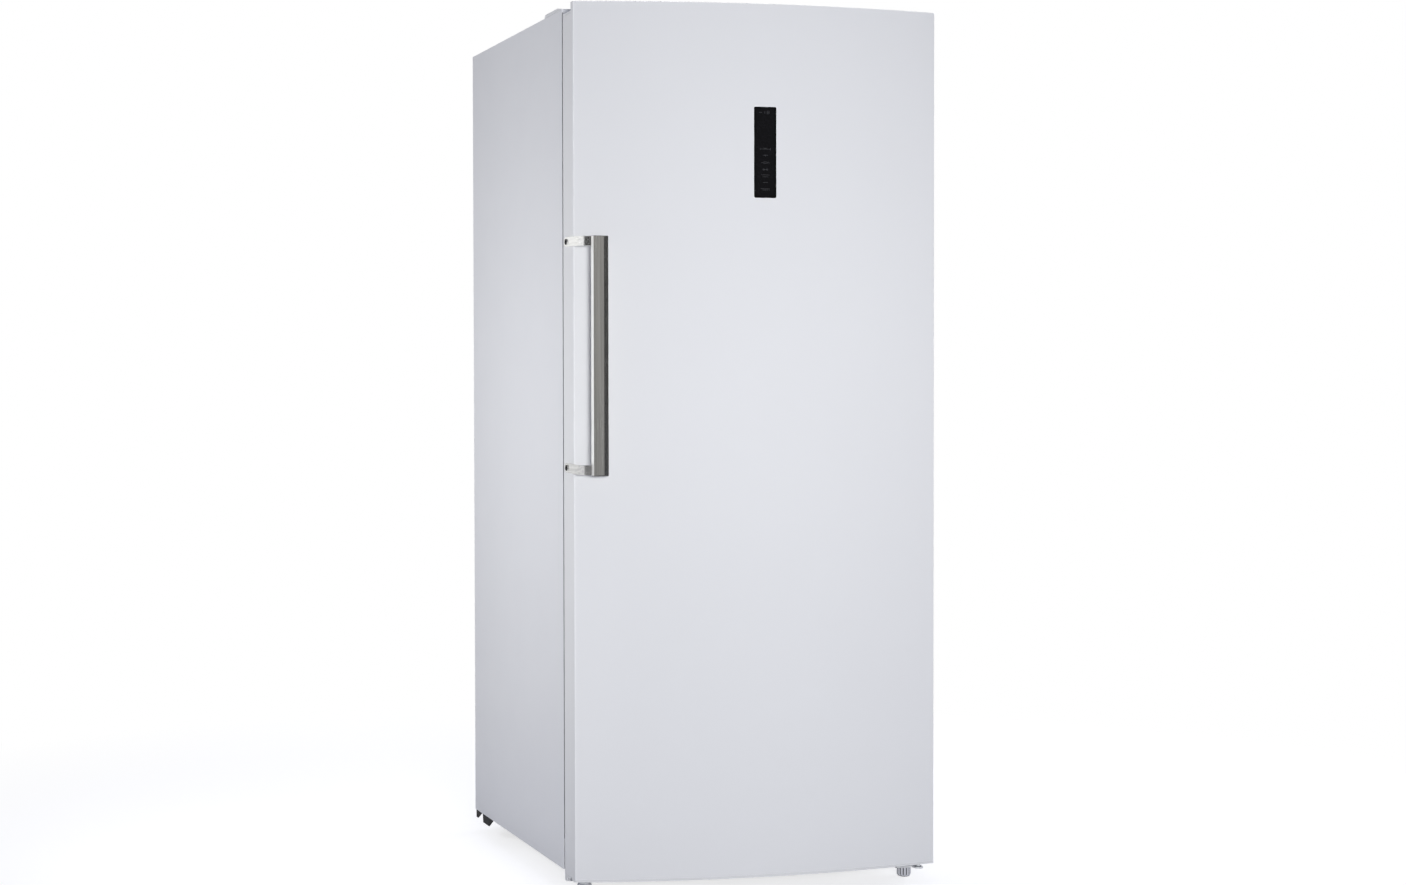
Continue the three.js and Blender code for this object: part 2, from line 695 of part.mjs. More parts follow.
function makeLiner() {
  const outer = prismX(spaceProfile(LINER, FRONT), -INNER_HALF - LINER, INNER_HALF + LINER);
  const inner = prismX(spaceProfile(0, FRONT - OVER), -INNER_HALF, INNER_HALF);
  const edge = HALF - FRONT_FLANGE - SEAT;
  const flange = block(
    -edge,
    edge,
    FRONT,
    FRONT + LINER,
    RAIL_TOP + SEAT,
    CABINET_TOP - FRONT_FLANGE - SEAT,
  );
  const shelfLedges = SHELF_LEVELS.flatMap((level) =>
    ledges(level - GLASS - SEAT, LEDGE_REACH, DUCT_FRONT - SHELF_BACK_GAP),
  );
  const runners = DRAWER_LEVELS.flatMap((level) =>
    ledges(drawerRunnerLevel(level), RUNNER_REACH, drawerBack(level)),
  );
  const shell = outer.add(flange).subtract(inner);
  place('inner_liner', joined([shell, ...shelfLedges, ...runners]), LINER_WHITE);
}

function makeBottomRail() {
  const side = HALF - STEEL - SEAT;
  const back = FRONT + RAIL_DEPTH;
  const path = [
    [back, RAIL_TOP],
    [FRONT, RAIL_TOP],
    [FRONT, RAIL_STEP_HEIGHT],
    [FRONT + RAIL_STEP, RAIL_STEP_HEIGHT],
    [FRONT + RAIL_STEP, CABINET_LIFT],
    [back, CABINET_LIFT],
  ];
  place('bottom_rail', prismX(strip(path, RAIL_SHEET), -side, side), WHITE_STEEL);
}

// Low cover across the cabinet's top front, hollow underneath, open for the hinge arm.
function makeTopCover() {
  const base = CABINET_TOP + SEAT;
  const y0 = FRONT + COVER_START;
  const y1 = FRONT + COVER_DEPTH;
  const outer = [
    [y0, base],
    [y1 + COVER_RISE, base],
    [y1, base + COVER_RISE],
    [y0 + COVER_SLOPE, base + COVER_RISE],
    [y0, base + COVER_WALL],
  ];
  const inner = rect(y0 + COVER_SLOPE, y1 - COVER_WALL, base - OVER, base + COVER_RISE - COVER_WALL);
  const hollow = prismX(inner, -HALF + COVER_WALL, HALF - COVER_WALL);
  const mouth = block(
    PIN_X + ARM_RIGHT - ARM_WIDTH - COVER_CLEARANCE,
    HALF - COVER_WALL,
    y0 - OVER,
    y0 + COVER_SLOPE + OVER,
    base - OVER,
    base + COVER_RISE - COVER_WALL,
  );
  const cover = prismX(outer, -HALF, HALF).subtract(hollow).subtract(mouth);
  place('top_front_cover', cover, WHITE_PLASTIC);
}

// ---- Hinges and feet -----------------------------------------------------------------------

function makeUpperHinge() {
  const right = PIN_X + ARM_RIGHT;
  const left = right - ARM_WIDTH;
  const start = FRONT + COVER_START + COVER_SLOPE + COVER_CLEARANCE;
  const end = FRONT + ARM_REACH;
  const z1 = ARM_UNDERSIDE + PLATE;
  const arm = block(left, right, PIN_Y, end, ARM_UNDERSIDE, z1);
  const foot = block(left - ARM_WIDTH, right, start, end, ARM_UNDERSIDE, z1);
  const eye = rodZ(PIN_X, PIN_Y, ARM_PIN_RADIUS, ARM_UNDERSIDE, z1, 24);
  const web = prismZ(
    [
      [left, PIN_Y + ARM_PIN_RADIUS],
      [left, PIN_Y],
      [PIN_X - ARM_PIN_RADIUS, PIN_Y],
      [PIN_X, PIN_Y + ARM_PIN_RADIUS],
    ].reverse(),
    ARM_UNDERSIDE,
    z1,
  );
  const pin = rodZ(PIN_X, PIN_Y, PIN_RADIUS, ARM_UNDERSIDE - UPPER_PIN_LENGTH, z1, 24);
  place('upper_hinge_bracket', joined([arm, foot, eye, web, pin]), ZINC);
}

// Plate under the door with a flange screwed to the rail and the foot's hole, on the right.
function lowerBracket(outer) {
  const inner = HALF - BRACKET_INNER;
  const back = FRONT + RAIL_STEP - SEAT;
  const top = BRACKET_UNDERSIDE + PLATE;
  const plate = block(inner, outer, BRACKET_FRONT, back, BRACKET_UNDERSIDE, top);
  const flange = block(inner, outer, back - PLATE, back, BRACKET_UNDERSIDE, BRACKET_FLANGE_TOP);
  const hole = rodZ(HALF - FOOT_INSET, FOOT_BACK, STUD_RADIUS + RUNNING, 0, top + OVER, 20);
  return plate.add(flange).subtract(hole);
}

// The bracket on the right reaches forward in a rounded tip that carries the lower pin.
function makeLowerBrackets() {
  const z0 = BRACKET_UNDERSIDE;
  const tip = rodZ(PIN_X, PIN_Y, BRACKET_EYE, z0, z0 + PLATE, 24);
  const web = block(
    PIN_X - BRACKET_EYE,
    PIN_X + BRACKET_EYE,
    PIN_Y,
    BRACKET_FRONT + OVER,
    z0,
    z0 + PLATE,
  );
  const pin = rodZ(PIN_X, PIN_Y, PIN_RADIUS, z0, z0 + LOWER_PIN_LENGTH, 24);
  const hinge = joined([lowerBracket(PIN_X + BRACKET_EYE), tip, web, pin]);
  place('lower_hinge_bracket', hinge, BRACKET_WHITE);
  const foot = lowerBracket(HALF - FOOT_BRACKET_OUTER).mirror([1, 0, 0]);
  place('left_foot_bracket', foot, BRACKET_WHITE);
}

// Fluted thumb-wheel on a pad with a stud up into the bracket.
function makeFoot(name, side) {
  const x = side * (HALF - FOOT_INSET);
  const top = BRACKET_UNDERSIDE - SEAT;
  const rim = [];
  for (let i = 0; i < FOOT_FLUTES * 2; i += 1) {
    const radius = FOOT_RADIUS - (i % 2) * FLUTE_DEPTH;
    const angle = (i * Math.PI) / FOOT_FLUTES;
    rim.push([x + radius * Math.cos(angle), FOOT_BACK + radius * Math.sin(angle)]);
  }
  const wheel = prismZ(rim, FOOT_PAD, top);
  const bottom = FOOT_RADIUS - FOOT_PAD_TAPER;
  const pad = new THREE.CylinderGeometry(FOOT_RADIUS - FLUTE_DEPTH, bottom, FOOT_PAD, 16);
  pad.rotateX(Math.PI / 2);
  pad.translate(x, FOOT_BACK, FOOT_PAD / 2);
  const stud = rodZ(x, FOOT_BACK, STUD_RADIUS, top - OVER, STUD_TOP, 20);
  place(name, joined([wheel, solid(pad), stud]), FOOT_GREY);
}

// ---- Base tray, rollers and compressor bay ---------------------------------------------------

// The skid seen from the side: two teeth with slanted fronts below the cabinet's edge.
function skidProfile() {
  const front = BAY_FRONT + SKID_INSET;
  const back = BACK - STEEL - SKID_INSET;
  const first = BAY_FRONT + TOOTH_START;
  const heel = first + TOOTH_SLANT + TOOTH_LENGTH;
  const second = heel + TOOTH_HEEL + TOOTH_GAP;
  return [
    [front, SKID_NOTCH],
    [first, SKID_NOTCH],
    [first + TOOTH_SLANT, SKID_BOTTOM],
    [heel, SKID_BOTTOM],
    [heel + TOOTH_HEEL, SKID_NOTCH],
    [second, SKID_NOTCH],
    [second + TOOTH_SLANT, SKID_BOTTOM + HEEL_RISE],
    [back, SKID_BOTTOM + HEEL_RISE],
    [back, TRAY_TOP],
    [front, TRAY_TOP],
  ];
}

// The two ears that hold one roller's axle.
function rollerEars(side) {
  const outer = HALF - ROLLER_INSET;
  const inner = outer - ROLLER_WIDTH;
  const starts = [outer + EAR_GAP, inner - EAR_GAP - EAR_SHEET];
  return starts.map((start) => {
    const x0 = side > 0 ? start : -start - EAR_SHEET;
    const plate = block(
      x0,
      x0 + EAR_SHEET,
      ROLLER_Y - EAR_WIDTH / 2,
      ROLLER_Y + EAR_WIDTH / 2,
      ROLLER_RADIUS,
      TRAY_HEIGHT + TRAY_SHEET / 2,
    );
    const end = rodX(ROLLER_Y, ROLLER_RADIUS, EAR_WIDTH / 2, x0, x0 + EAR_SHEET, 16);
    const hole = rodX(ROLLER_Y, ROLLER_RADIUS, AXLE_RADIUS + SEAT, x0 - OVER, x0 + EAR_SHEET + OVER, 12);
    return plate.add(end).subtract(hole);
  });
}

function makeBaseTray() {
  const outer = HALF - STEEL - SEAT;
  const profile = skidProfile();
  const plate = block(
    -outer,
    outer,
    BAY_FRONT + SKID_INSET,
    BACK - REAR_COVER_SHEET - SEAT,
    TRAY_HEIGHT,
    TRAY_TOP,
  );
  const skids = [
    prismX(profile, -outer, -outer + TRAY_SHEET),
    prismX(profile, outer - TRAY_SHEET, outer),
  ];
  const ears = [...rollerEars(1), ...rollerEars(-1)];
  place('base_tray', joined([plate, ...skids, ...ears]), BLACK_STEEL);
}

function makeRoller(suffix, side) {
  const outer = HALF - ROLLER_INSET;
  const inner = outer - ROLLER_WIDTH;
  const x0 = side > 0 ? inner : -outer;
  const x1 = side > 0 ? outer : -inner;
  const rim = ROLLER_RADIUS - ROLLER_CHAMFER;
  const profile = [
    new THREE.Vector2(AXLE_RADIUS + RUNNING, 0),
    new THREE.Vector2(rim, 0),
    new THREE.Vector2(ROLLER_RADIUS, ROLLER_CHAMFER),
    new THREE.Vector2(ROLLER_RADIUS, ROLLER_WIDTH - ROLLER_CHAMFER),
    new THREE.Vector2(rim, ROLLER_WIDTH),
    new THREE.Vector2(AXLE_RADIUS + RUNNING, ROLLER_WIDTH),
    new THREE.Vector2(AXLE_RADIUS + RUNNING, 0),
  ];
  const wheel = new THREE.LatheGeometry(profile, 24);
  wheel.rotateZ(-Math.PI / 2);
  wheel.translate(x0, ROLLER_Y, ROLLER_RADIUS);
  place(`rear_roller_${suffix}`, solid(wheel), BLACK_PLASTIC);
  const reach = EAR_GAP + EAR_SHEET + AXLE_END;
  const end = x1 + reach;
  const axle = rodX(ROLLER_Y, ROLLER_RADIUS, AXLE_RADIUS, x0 - reach, end, 12);
  const head = rodX(ROLLER_Y, ROLLER_RADIUS, AXLE_HEAD_RADIUS, end - AXLE_HEAD, end, 12);
  place(`roller_axle_${suffix}`, axle.add(head), ZINC);
}

// Welded two-part housing with its weld seam, on a pressed foot plate.
function makeCompressor() {
  const r = COMPRESSOR_RADIUS;
  const h = COMPRESSOR_HEIGHT;
  const dome = [];
  for (let i = 0; i <= DOME_STEPS; i += 1) {
    const angle = (i / DOME_STEPS) * (Math.PI / 2);
    dome.push([r * Math.sin(angle), COMPRESSOR_DOME * (1 - Math.cos(angle))]);
  }
  const points = [
    ...dome.map(([x, z]) => new THREE.Vector2(x, z)),
    new THREE.Vector2(r, h / 2 - COMPRESSOR_SEAM),
    new THREE.Vector2(r + SEAM_RISE, h / 2),
    new THREE.Vector2(r, h / 2 + COMPRESSOR_SEAM),
    ...dome.reverse().map(([x, z]) => new THREE.Vector2(x, h - z)),
  ];
  const housing = new THREE.LatheGeometry(points, 24);
  housing.rotateX(Math.PI / 2);
  housing.scale(1, COMPRESSOR_HALF_DEPTH / r, 1);
  housing.translate(COMPRESSOR_X, COMPRESSOR_Y, COMPRESSOR_BASE);
  const foot = prismZ(
    roundedRect(
      COMPRESSOR_X - FOOT_PLATE_WIDTH / 2,
      COMPRESSOR_X + FOOT_PLATE_WIDTH / 2,
      COMPRESSOR_Y - FOOT_PLATE_DEPTH / 2,
      COMPRESSOR_Y + FOOT_PLATE_DEPTH / 2,
      GROMMET_RADIUS,
    ),
    COMPRESSOR_BASE,
    COMPRESSOR_BASE + FOOT_PLATE,
  );
  place('compressor', solid(housing).add(foot), BLACK_STEEL);
}

// Four waisted rubber grommets between the foot plate and the tray.
function makeGrommets() {
  const r = GROMMET_RADIUS;
  const h = GROMMET_HEIGHT;
  const profile = [
    new THREE.Vector2(0, 0),
    new THREE.Vector2(r, 0),
    new THREE.Vector2(r, GROMMET_FLANGE),
    new THREE.Vector2(GROMMET_WAIST, h / 2),
    new THREE.Vector2(r, h - GROMMET_FLANGE),
    new THREE.Vector2(r, h),
    new THREE.Vector2(0, h),
  ];
  let number = 1;
  for (const sx of [-1, 1]) {
    for (const sy of [-1, 1]) {
      const grommet = new THREE.LatheGeometry(profile, 12);
      grommet.rotateX(Math.PI / 2);
      const x = COMPRESSOR_X + (sx * GROMMET_PITCH_X) / 2;
      const y = COMPRESSOR_Y + (sy * GROMMET_PITCH_Y) / 2;
      grommet.translate(x, y, TRAY_TOP + SEAT);
      place(`compressor_grommet_${number}`, solid(grommet), DARK_RUBBER);
      number += 1;
    }
  }
}

// Terminal box on the housing's side, hollowed to fit it.
function makeRelayBox() {
  const x1 = COMPRESSOR_X - COMPRESSOR_RADIUS + RELAY_OVERLAP;
  const z0 = COMPRESSOR_BASE + FOOT_PLATE + RELAY_RISE;
  const outline = roundedRect(
    x1 - RELAY_WIDTH,
    x1,
    COMPRESSOR_Y - RELAY_DEPTH / 2,
    COMPRESSOR_Y + RELAY_DEPTH / 2,
    RELAY_CORNER,
  );
  const housing = new THREE.CylinderGeometry(1, 1, RELAY_HEIGHT + 2 * OVER, 48);
  housing.rotateX(Math.PI / 2);
  const fit = SEAM_RISE + SEAT;
  housing.scale(COMPRESSOR_RADIUS + fit, COMPRESSOR_HALF_DEPTH + fit, 1);
  housing.translate(COMPRESSOR_X, COMPRESSOR_Y, z0 + RELAY_HEIGHT / 2);
  const box = prismZ(outline, z0, z0 + RELAY_HEIGHT).subtract(solid(housing));
  place('relay_box', box, BLACK_PLASTIC);
}

// Pipe from the compressor's side through the bay and up to its ceiling.
function makeRefrigerantLine() {
  const angle = THREE.MathUtils.degToRad(LINE_ANGLE);
  const start = COMPRESSOR_X - (COMPRESSOR_RADIUS + LINE_RADIUS) * Math.cos(angle);
  const y = COMPRESSOR_Y - (COMPRESSOR_HALF_DEPTH + LINE_RADIUS) * Math.sin(angle);
  const curve = new THREE.CatmullRomCurve3([
    new THREE.Vector3(start, y, LINE_LEVEL),
    new THREE.Vector3(start - LINE_BEND, y, LINE_LEVEL),
    new THREE.Vector3(LINE_X + LINE_BEND, y, LINE_LEVEL),
    new THREE.Vector3(LINE_X, y, LINE_LEVEL + LINE_BEND),
    new THREE.Vector3(LINE_X, y, BAY_TOP - LINE_BEND),
    new THREE.Vector3(LINE_X, y, BAY_TOP - SEAT),
  ]);
  place('refrigerant_line', tube(curve, LINE_RADIUS, 16), COPPER);
}

// Shallow tray on the compressor that boils off the defrost water.
function makeDrainTray() {
  const z0 = COMPRESSOR_TOP - FOOT_PLATE + SEAT;
  const w = DRAIN_TRAY_WIDTH / 2;
  const d = DRAIN_TRAY_DEPTH / 2;
  const wall = DRAIN_TRAY_WALL;
  const outer = roundedRect(
    COMPRESSOR_X - w,
    COMPRESSOR_X + w,
    COMPRESSOR_Y - d,
    COMPRESSOR_Y + d,
    DRAIN_TRAY_CORNER,
  );
  const inner = roundedRect(
    COMPRESSOR_X - w + wall,
    COMPRESSOR_X + w - wall,
    COMPRESSOR_Y - d + wall,
    COMPRESSOR_Y + d - wall,
    DRAIN_TRAY_CORNER - wall,
  );
  const tray = prismZ(outer, z0, z0 + DRAIN_TRAY_HEIGHT);
  const hollow = prismZ(inner, z0 + wall, z0 + DRAIN_TRAY_HEIGHT + OVER);
  place('drain_tray', tray.subtract(hollow), BLACK_PLASTIC);
}

function makeRearCover() {
  const side = HALF - STEEL - REAR_COVER_SIDE_GAP;
  const z0 = TRAY_HEIGHT;
  const z1 = BAY_TOP - SEAT;
  let cover = block(-side, side, BACK - REAR_COVER_SHEET, BACK, z0, z1);
  const middle = (z0 + z1) / 2;
  for (let i = 0; i < LOUVRE_COUNT; i += 1) {
    const x = (i - (LOUVRE_COUNT - 1) / 2) * LOUVRE_PITCH;
    const slot = roundedRect(
      x - LOUVRE_WIDTH / 2,
      x + LOUVRE_WIDTH / 2,
      middle - LOUVRE_HEIGHT / 2,
      middle + LOUVRE_HEIGHT / 2,
      (LOUVRE_WIDTH - END_FLAT) / 2,
    );
    cover = cover.subtract(prismY(slot, BACK - REAR_COVER_SHEET - OVER, BACK + OVER, 1));
  }
  const inside = BACK - REAR_COVER_SHEET - OVER;
  const gland = rodY(GLAND_X, GLAND_LEVEL, GLAND_NECK + SEAT, inside, BACK + OVER, 16);
  place('machine_cover', cover.subtract(gland), BLACK_STEEL);
}

// Bushed gland through the rear cover, where the mains lead enters.
function makeCordGland() {
  const inside = BACK - REAR_COVER_SHEET - SEAT;
  const neck = rodY(GLAND_X, GLAND_LEVEL, GLAND_NECK, inside - GLAND_LENGTH, BACK, 16);
  const collar = rodY(GLAND_X, GLAND_LEVEL, GLAND_RADIUS, inside - GLAND_COLLAR, inside, 16);
  const bore = rodY(GLAND_X, GLAND_LEVEL, GLAND_BORE, inside - GLAND_LENGTH - OVER, BACK + OVER, 12);
  place('cord_gland', neck.add(collar).subtract(bore), BLACK_PLASTIC);
}

// ---- Evaporator ----------------------------------------------------------------------------

function makeEvaporatorCover() {
  const side = INNER_HALF - SEAT;
  const z0 = STEP_TOP + SEAT;
  const z1 = SPACE_CEILING - SEAT;
  const back = SPACE_BACK - SEAT;
  const outer = block(-side, side, DUCT_FRONT, back, z0, z1);
  const inner = block(
    -side + DUCT_WALL,
    side - DUCT_WALL,
    DUCT_FRONT + DUCT_WALL,
    back + OVER,
    z0 + DUCT_WALL,
    z1 - DUCT_WALL,
  );
  const cuts = [];
  for (const roof of [SPACE_CEILING, ...SHELF_LEVELS]) {
    for (const sx of [-1, 1]) {
      for (let row = 0; row < SLOT_ROWS; row += 1) {
        const x = sx * SLOT_OFFSET;
        const z = roof - SLOT_DROP - row * SLOT_PITCH;
        const slot = rect(x - SLOT_LENGTH / 2, x + SLOT_LENGTH / 2, z - SLOT_HEIGHT, z);
        cuts.push(prismY(slot, DUCT_FRONT - OVER, DUCT_FRONT + DUCT_WALL + OVER));
      }
    }
  }
  const low = STEP_TOP + RETURN_RISE;
  for (let i = 0; i < RETURN_COUNT; i += 1) {
    const x = (i - (RETURN_COUNT - 1) / 2) * RETURN_PITCH;
    const slot = rect(x - RETURN_WIDTH / 2, x + RETURN_WIDTH / 2, low, low + RETURN_HEIGHT);
    cuts.push(prismY(slot, DUCT_FRONT - OVER, DUCT_FRONT + DUCT_WALL + OVER));
  }
  const y1 = DUCT_FRONT + DUCT_WALL + OVER;
  cuts.push(rodY(0, FAN_LEVEL, FAN_RADIUS + FAN_HOLE_GAP, DUCT_FRONT - OVER, y1, 32));
  const guard = [];
  for (const radius of [FAN_HUB, (FAN_HUB + FAN_RADIUS) / 2 + FAN_GUARD_WIRE]) {
    const wide = radius + FAN_GUARD_WIRE;
    const ring = rodY(0, FAN_LEVEL, wide, DUCT_FRONT, DUCT_FRONT + DUCT_WALL, 20);
    guard.push(ring.subtract(rodY(0, FAN_LEVEL, radius, DUCT_FRONT - OVER, y1, 20)));
  }
  const reach = FAN_RADIUS + FAN_HOLE_GAP + OVER;
  const half = FAN_GUARD_WIRE / 2;
  for (let i = 0; i < 4; i += 1) {
    const angle = (i * Math.PI) / 2;
    const spoke = new THREE.BoxGeometry(reach - FAN_HUB - half, DUCT_WALL, FAN_GUARD_WIRE);
    spoke.translate((reach + FAN_HUB + half) / 2, DUCT_FRONT + DUCT_WALL / 2, 0);
    spoke.rotateY(angle);
    spoke.translate(0, 0, FAN_LEVEL);
    guard.push(solid(spoke));
  }
  const cover = outer.subtract(inner).subtract(joined(cuts));
  place('evaporator_cover', joined([cover, ...guard]), LINER_WHITE);
}

// A half-turn of tube between two passes, bulging away from the coil on the given side.
function returnBend(x, z, side) {
  const radius = COIL_PITCH / 2;
  const points = [];
  for (let i = 0; i <= BEND_STEPS; i += 1) {
    const angle = (i / BEND_STEPS) * Math.PI - Math.PI / 2;
    const dx = side * radius * Math.cos(angle);
    points.push(new THREE.Vector3(x + dx, COIL_Y, z + radius + radius * Math.sin(angle)));
  }
  return tube(new THREE.CatmullRomCurve3(points), COIL_TUBE, BEND_STEPS, COIL_TUBE_SIDES);
}

// Serpentine of straight passes and return bends through a pack of aluminium fins.
function makeEvaporatorCoil() {
  const parts = [];
  const half = COIL_WIDTH / 2;
  for (let i = 0; i < COIL_PASSES; i += 1) {
    const z = COIL_BOTTOM + i * COIL_PITCH;
    parts.push(rodX(COIL_Y, z, COIL_TUBE, -half - OVER, half + OVER, COIL_TUBE_SIDES));
    const side = i % 2 ? -1 : 1;
    if (i < COIL_PASSES - 1) parts.push(returnBend(side * half, z, side));
  }
  const pitch = (COIL_WIDTH - 2 * FIN_MARGIN) / (FIN_COUNT - 1);
  const y0 = COIL_Y - FIN_DEPTH / 2;
  for (let i = 0; i < FIN_COUNT; i += 1) {
    const x = -half + FIN_MARGIN + i * pitch;
    const last = i === 0 || i === FIN_COUNT - 1;
    const y1 = last ? SPACE_BACK - SEAT : COIL_Y + FIN_DEPTH / 2;
    parts.push(block(x - FIN_SHEET / 2, x + FIN_SHEET / 2, y0, y1, FIN_BOTTOM, FIN_TOP));
  }
  place('evaporator_coil', joined(parts), ALUMINIUM);
}

// Heater rod under the coil, hung from its end fins by turned-up ends.
function makeDefrostHeater() {
  const z = COIL_BOTTOM - HEATER_DROP;
  const x = COIL_WIDTH / 2 - FIN_MARGIN;
  const top = FIN_BOTTOM - SEAT;
  const rod = rodX(COIL_Y, z, HEATER_RADIUS, -x - HEATER_STUB, x + HEATER_STUB, 12);
  const hooks = [-x, x].map((hx) =>
    block(hx - FIN_SHEET, hx + FIN_SHEET, COIL_Y - HEATER_RADIUS, COIL_Y + HEATER_RADIUS, z, top),
  );
  place('defrost_heater', joined([rod, ...hooks]), ZINC);
}

function makeFan() {
  const back = SPACE_BACK - SEAT;
  const motorFront = back - MOTOR_DEPTH;
  const motor = rodY(0, FAN_LEVEL, MOTOR_RADIUS, motorFront, back, 28);
  const arms = block(
    -MOTOR_ARM,
    MOTOR_ARM,
    back - MOTOR_ARM_SHEET,
    back,
    FAN_LEVEL - MOTOR_ARM_HEIGHT / 2,
    FAN_LEVEL + MOTOR_ARM_HEIGHT / 2,
  );
  const bore = rodY(
    0,
    FAN_LEVEL,
    SHAFT_RADIUS + RUNNING,
    motorFront - OVER,
    motorFront + SHAFT_ENGAGEMENT + RUNNING,
    16,
  );
  place('fan_motor', motor.add(arms).subtract(bore), BLACK_PLASTIC);

  const hub = rodY(0, FAN_LEVEL, FAN_HUB, FAN_Y - FAN_HUB_DEPTH / 2, FAN_Y + FAN_HUB_DEPTH / 2, 20);
  const shaft = rodY(0, FAN_LEVEL, SHAFT_RADIUS, FAN_Y, motorFront + SHAFT_ENGAGEMENT, 16);
  const blades = [];
  for (let i = 0; i < FAN_BLADES; i += 1) {
    const blade = extruded(
      roundedRect(-FAN_CHORD / 2, FAN_CHORD / 2, FAN_HUB - OVER, FAN_RADIUS, FAN_CHORD / 3),
      FAN_BLADE_SHEET,
      2,
    );
    blade.translate(0, 0, -FAN_BLADE_SHEET / 2);
    blade.rotateY(THREE.MathUtils.degToRad(FAN_PITCH));
    blade.rotateX(Math.PI / 2);
    blade.rotateY((i * 2 * Math.PI) / FAN_BLADES);
    blade.translate(0, FAN_Y, FAN_LEVEL);
    blades.push(solid(blade));
  }
  place('fan_blade', joined([hub, shaft, ...blades]), BLACK_PLASTIC);
}

// ---- Shelves, drawers and lamp ---------------------------------------------------------------

function makeShelves() {
  const side = INNER_HALF - SHELF_SIDE_GAP;
  SHELF_LEVELS.forEach((level, i) => {
    const glassFront = SHELF_Y + TRIM_WALL + SEAT;
    const glassBack = DUCT_FRONT - SHELF_BACK_GAP;
    const glass = block(-side, side, glassFront, glassBack, level - GLASS, level);
    place(`glass_shelf_${i + 1}`, glass, GLASS_GREEN);
    const z = level - GLASS / 2;
    const section = roundedRect(
      SHELF_Y,
      SHELF_Y + TRIM_DEPTH,
      z - TRIM_HEIGHT / 2,
      z + TRIM_HEIGHT / 2,
      TRIM_CORNER,
    );
    const trim = prismX(section, -side, side, 1);
    const groove = block(
      -side - OVER,
      side + OVER,
      SHELF_Y + TRIM_WALL,
      SHELF_Y + TRIM_DEPTH + OVER,
      level - GLASS - SEAT,
      level + SEAT,
    );
    place(`shelf_trim_${i + 1}`, trim.subtract(groove), WHITE_PLASTIC);
  });
}

// How far back a drawer reaches: the lowest one stops at the step over the bay.
function drawerBack(level) {
  return (level < STEP_TOP ? STEP_FRONT : DUCT_FRONT) - DRAWER_BACK_GAP;
}

function makeDrawers() {
  const half = INNER_HALF - DRAWER_SIDE_GAP;
  const frontHalf = INNER_HALF - DRAWER_FRONT_SIDE_GAP;
  const wall = DRAWER_WALL;
  DRAWER_LEVELS.forEach((level, i) => {
    const back = drawerBack(level);
    const top = level + DRAWER_HEIGHT;
    const tub = prismZ(roundedRect(-half, half, SHELF_Y, back, DRAWER_CORNER), level, top);
    const inside = roundedRect(
      -half + wall,
      half - wall,
      SHELF_Y + wall,
      back - wall,
      DRAWER_CORNER - wall,
    );
    const hollow = prismZ(inside, level + wall, top + OVER);
    const face = roundedRect(-frontHalf, frontHalf, level, top, DRAWER_FRONT_CORNER);
    const front = prismY(face, SHELF_Y, SHELF_Y + wall);
    const rim = top - DRAWER_RIM_DROP;
    const reach = half + RIM_REACH;
    const rims = block(-reach, reach, SHELF_Y + OVER, back - DRAWER_CORNER, rim, rim + wall);
    const gripFront = SHELF_Y - GRIP_REACH;
    const gripTop = top - GRIP_DROP;
    const section = [
      [gripFront, gripTop - GRIP_LIP],
      [gripFront + GRIP_SHEET, gripTop - GRIP_LIP],
      [gripFront + GRIP_SHEET, gripTop - GRIP_SHEET],
      [SHELF_Y + wall / 2, gripTop - GRIP_SHEET],
      [SHELF_Y + wall / 2, gripTop],
      [gripFront, gripTop],
    ];
    const grip = prismX(section, -GRIP_WIDTH / 2, GRIP_WIDTH / 2);
    const drawer = joined([tub, front, rims]).subtract(hollow).add(grip);
    place(`drawer_${i + 1}`, drawer, CLEAR);
  });
}

function makeLampCover() {
  const y0 = SHELF_Y + LAMP_BACK;
  const top = SPACE_CEILING - SEAT;
  const w = LAMP_WIDTH / 2;
  const y1 = y0 + LAMP_DEPTH;
  const base = prismZ(roundedRect(-w, w, y0, y1, LAMP_CORNER), top - LAMP_DROP / 2, top);
  const lens = roundedRect(
    -w + LENS_INSET,
    w - LENS_INSET,
    y0 + LENS_INSET,
    y1 - LENS_INSET,
    LAMP_CORNER - LENS_INSET,
  );
  const dome = prismZ(lens, top - LAMP_DROP, top);
  place('lamp_cover', base.add(dome), LAMP_WHITE);
}

// ---- Door ------------------------------------------------------------------------------------

function displayOutline(grow) {
  return roundedRect(
    -DISPLAY_WIDTH / 2 - grow,
    DISPLAY_WIDTH / 2 + grow,
    DISPLAY_BOTTOM - grow,
    DISPLAY_BOTTOM + DISPLAY_HEIGHT + grow,
    DISPLAY_CORNER + grow,
  );
}

// Heights of the two straps, lower one first.
const STRAP_LEVELS = [BAR_BOTTOM, BAR_BOTTOM + BAR_LENGTH - STRAP_HEIGHT];

// Clearance holes for the two handle screws through the strap, the skin and the foam.
function screwHoles() {
  return joined(
    STRAP_LEVELS.map((z) =>
      rodX(
        SCREW_BACK,
        z + STRAP_HEIGHT / 2,
        SCREW_RADIUS + SEAT,
        STRAP_OUTER - OVER,
        STRAP_OUTER + STRAP_SHEET + SCREW_LENGTH,
        12,
      ),
    ),
  );
}

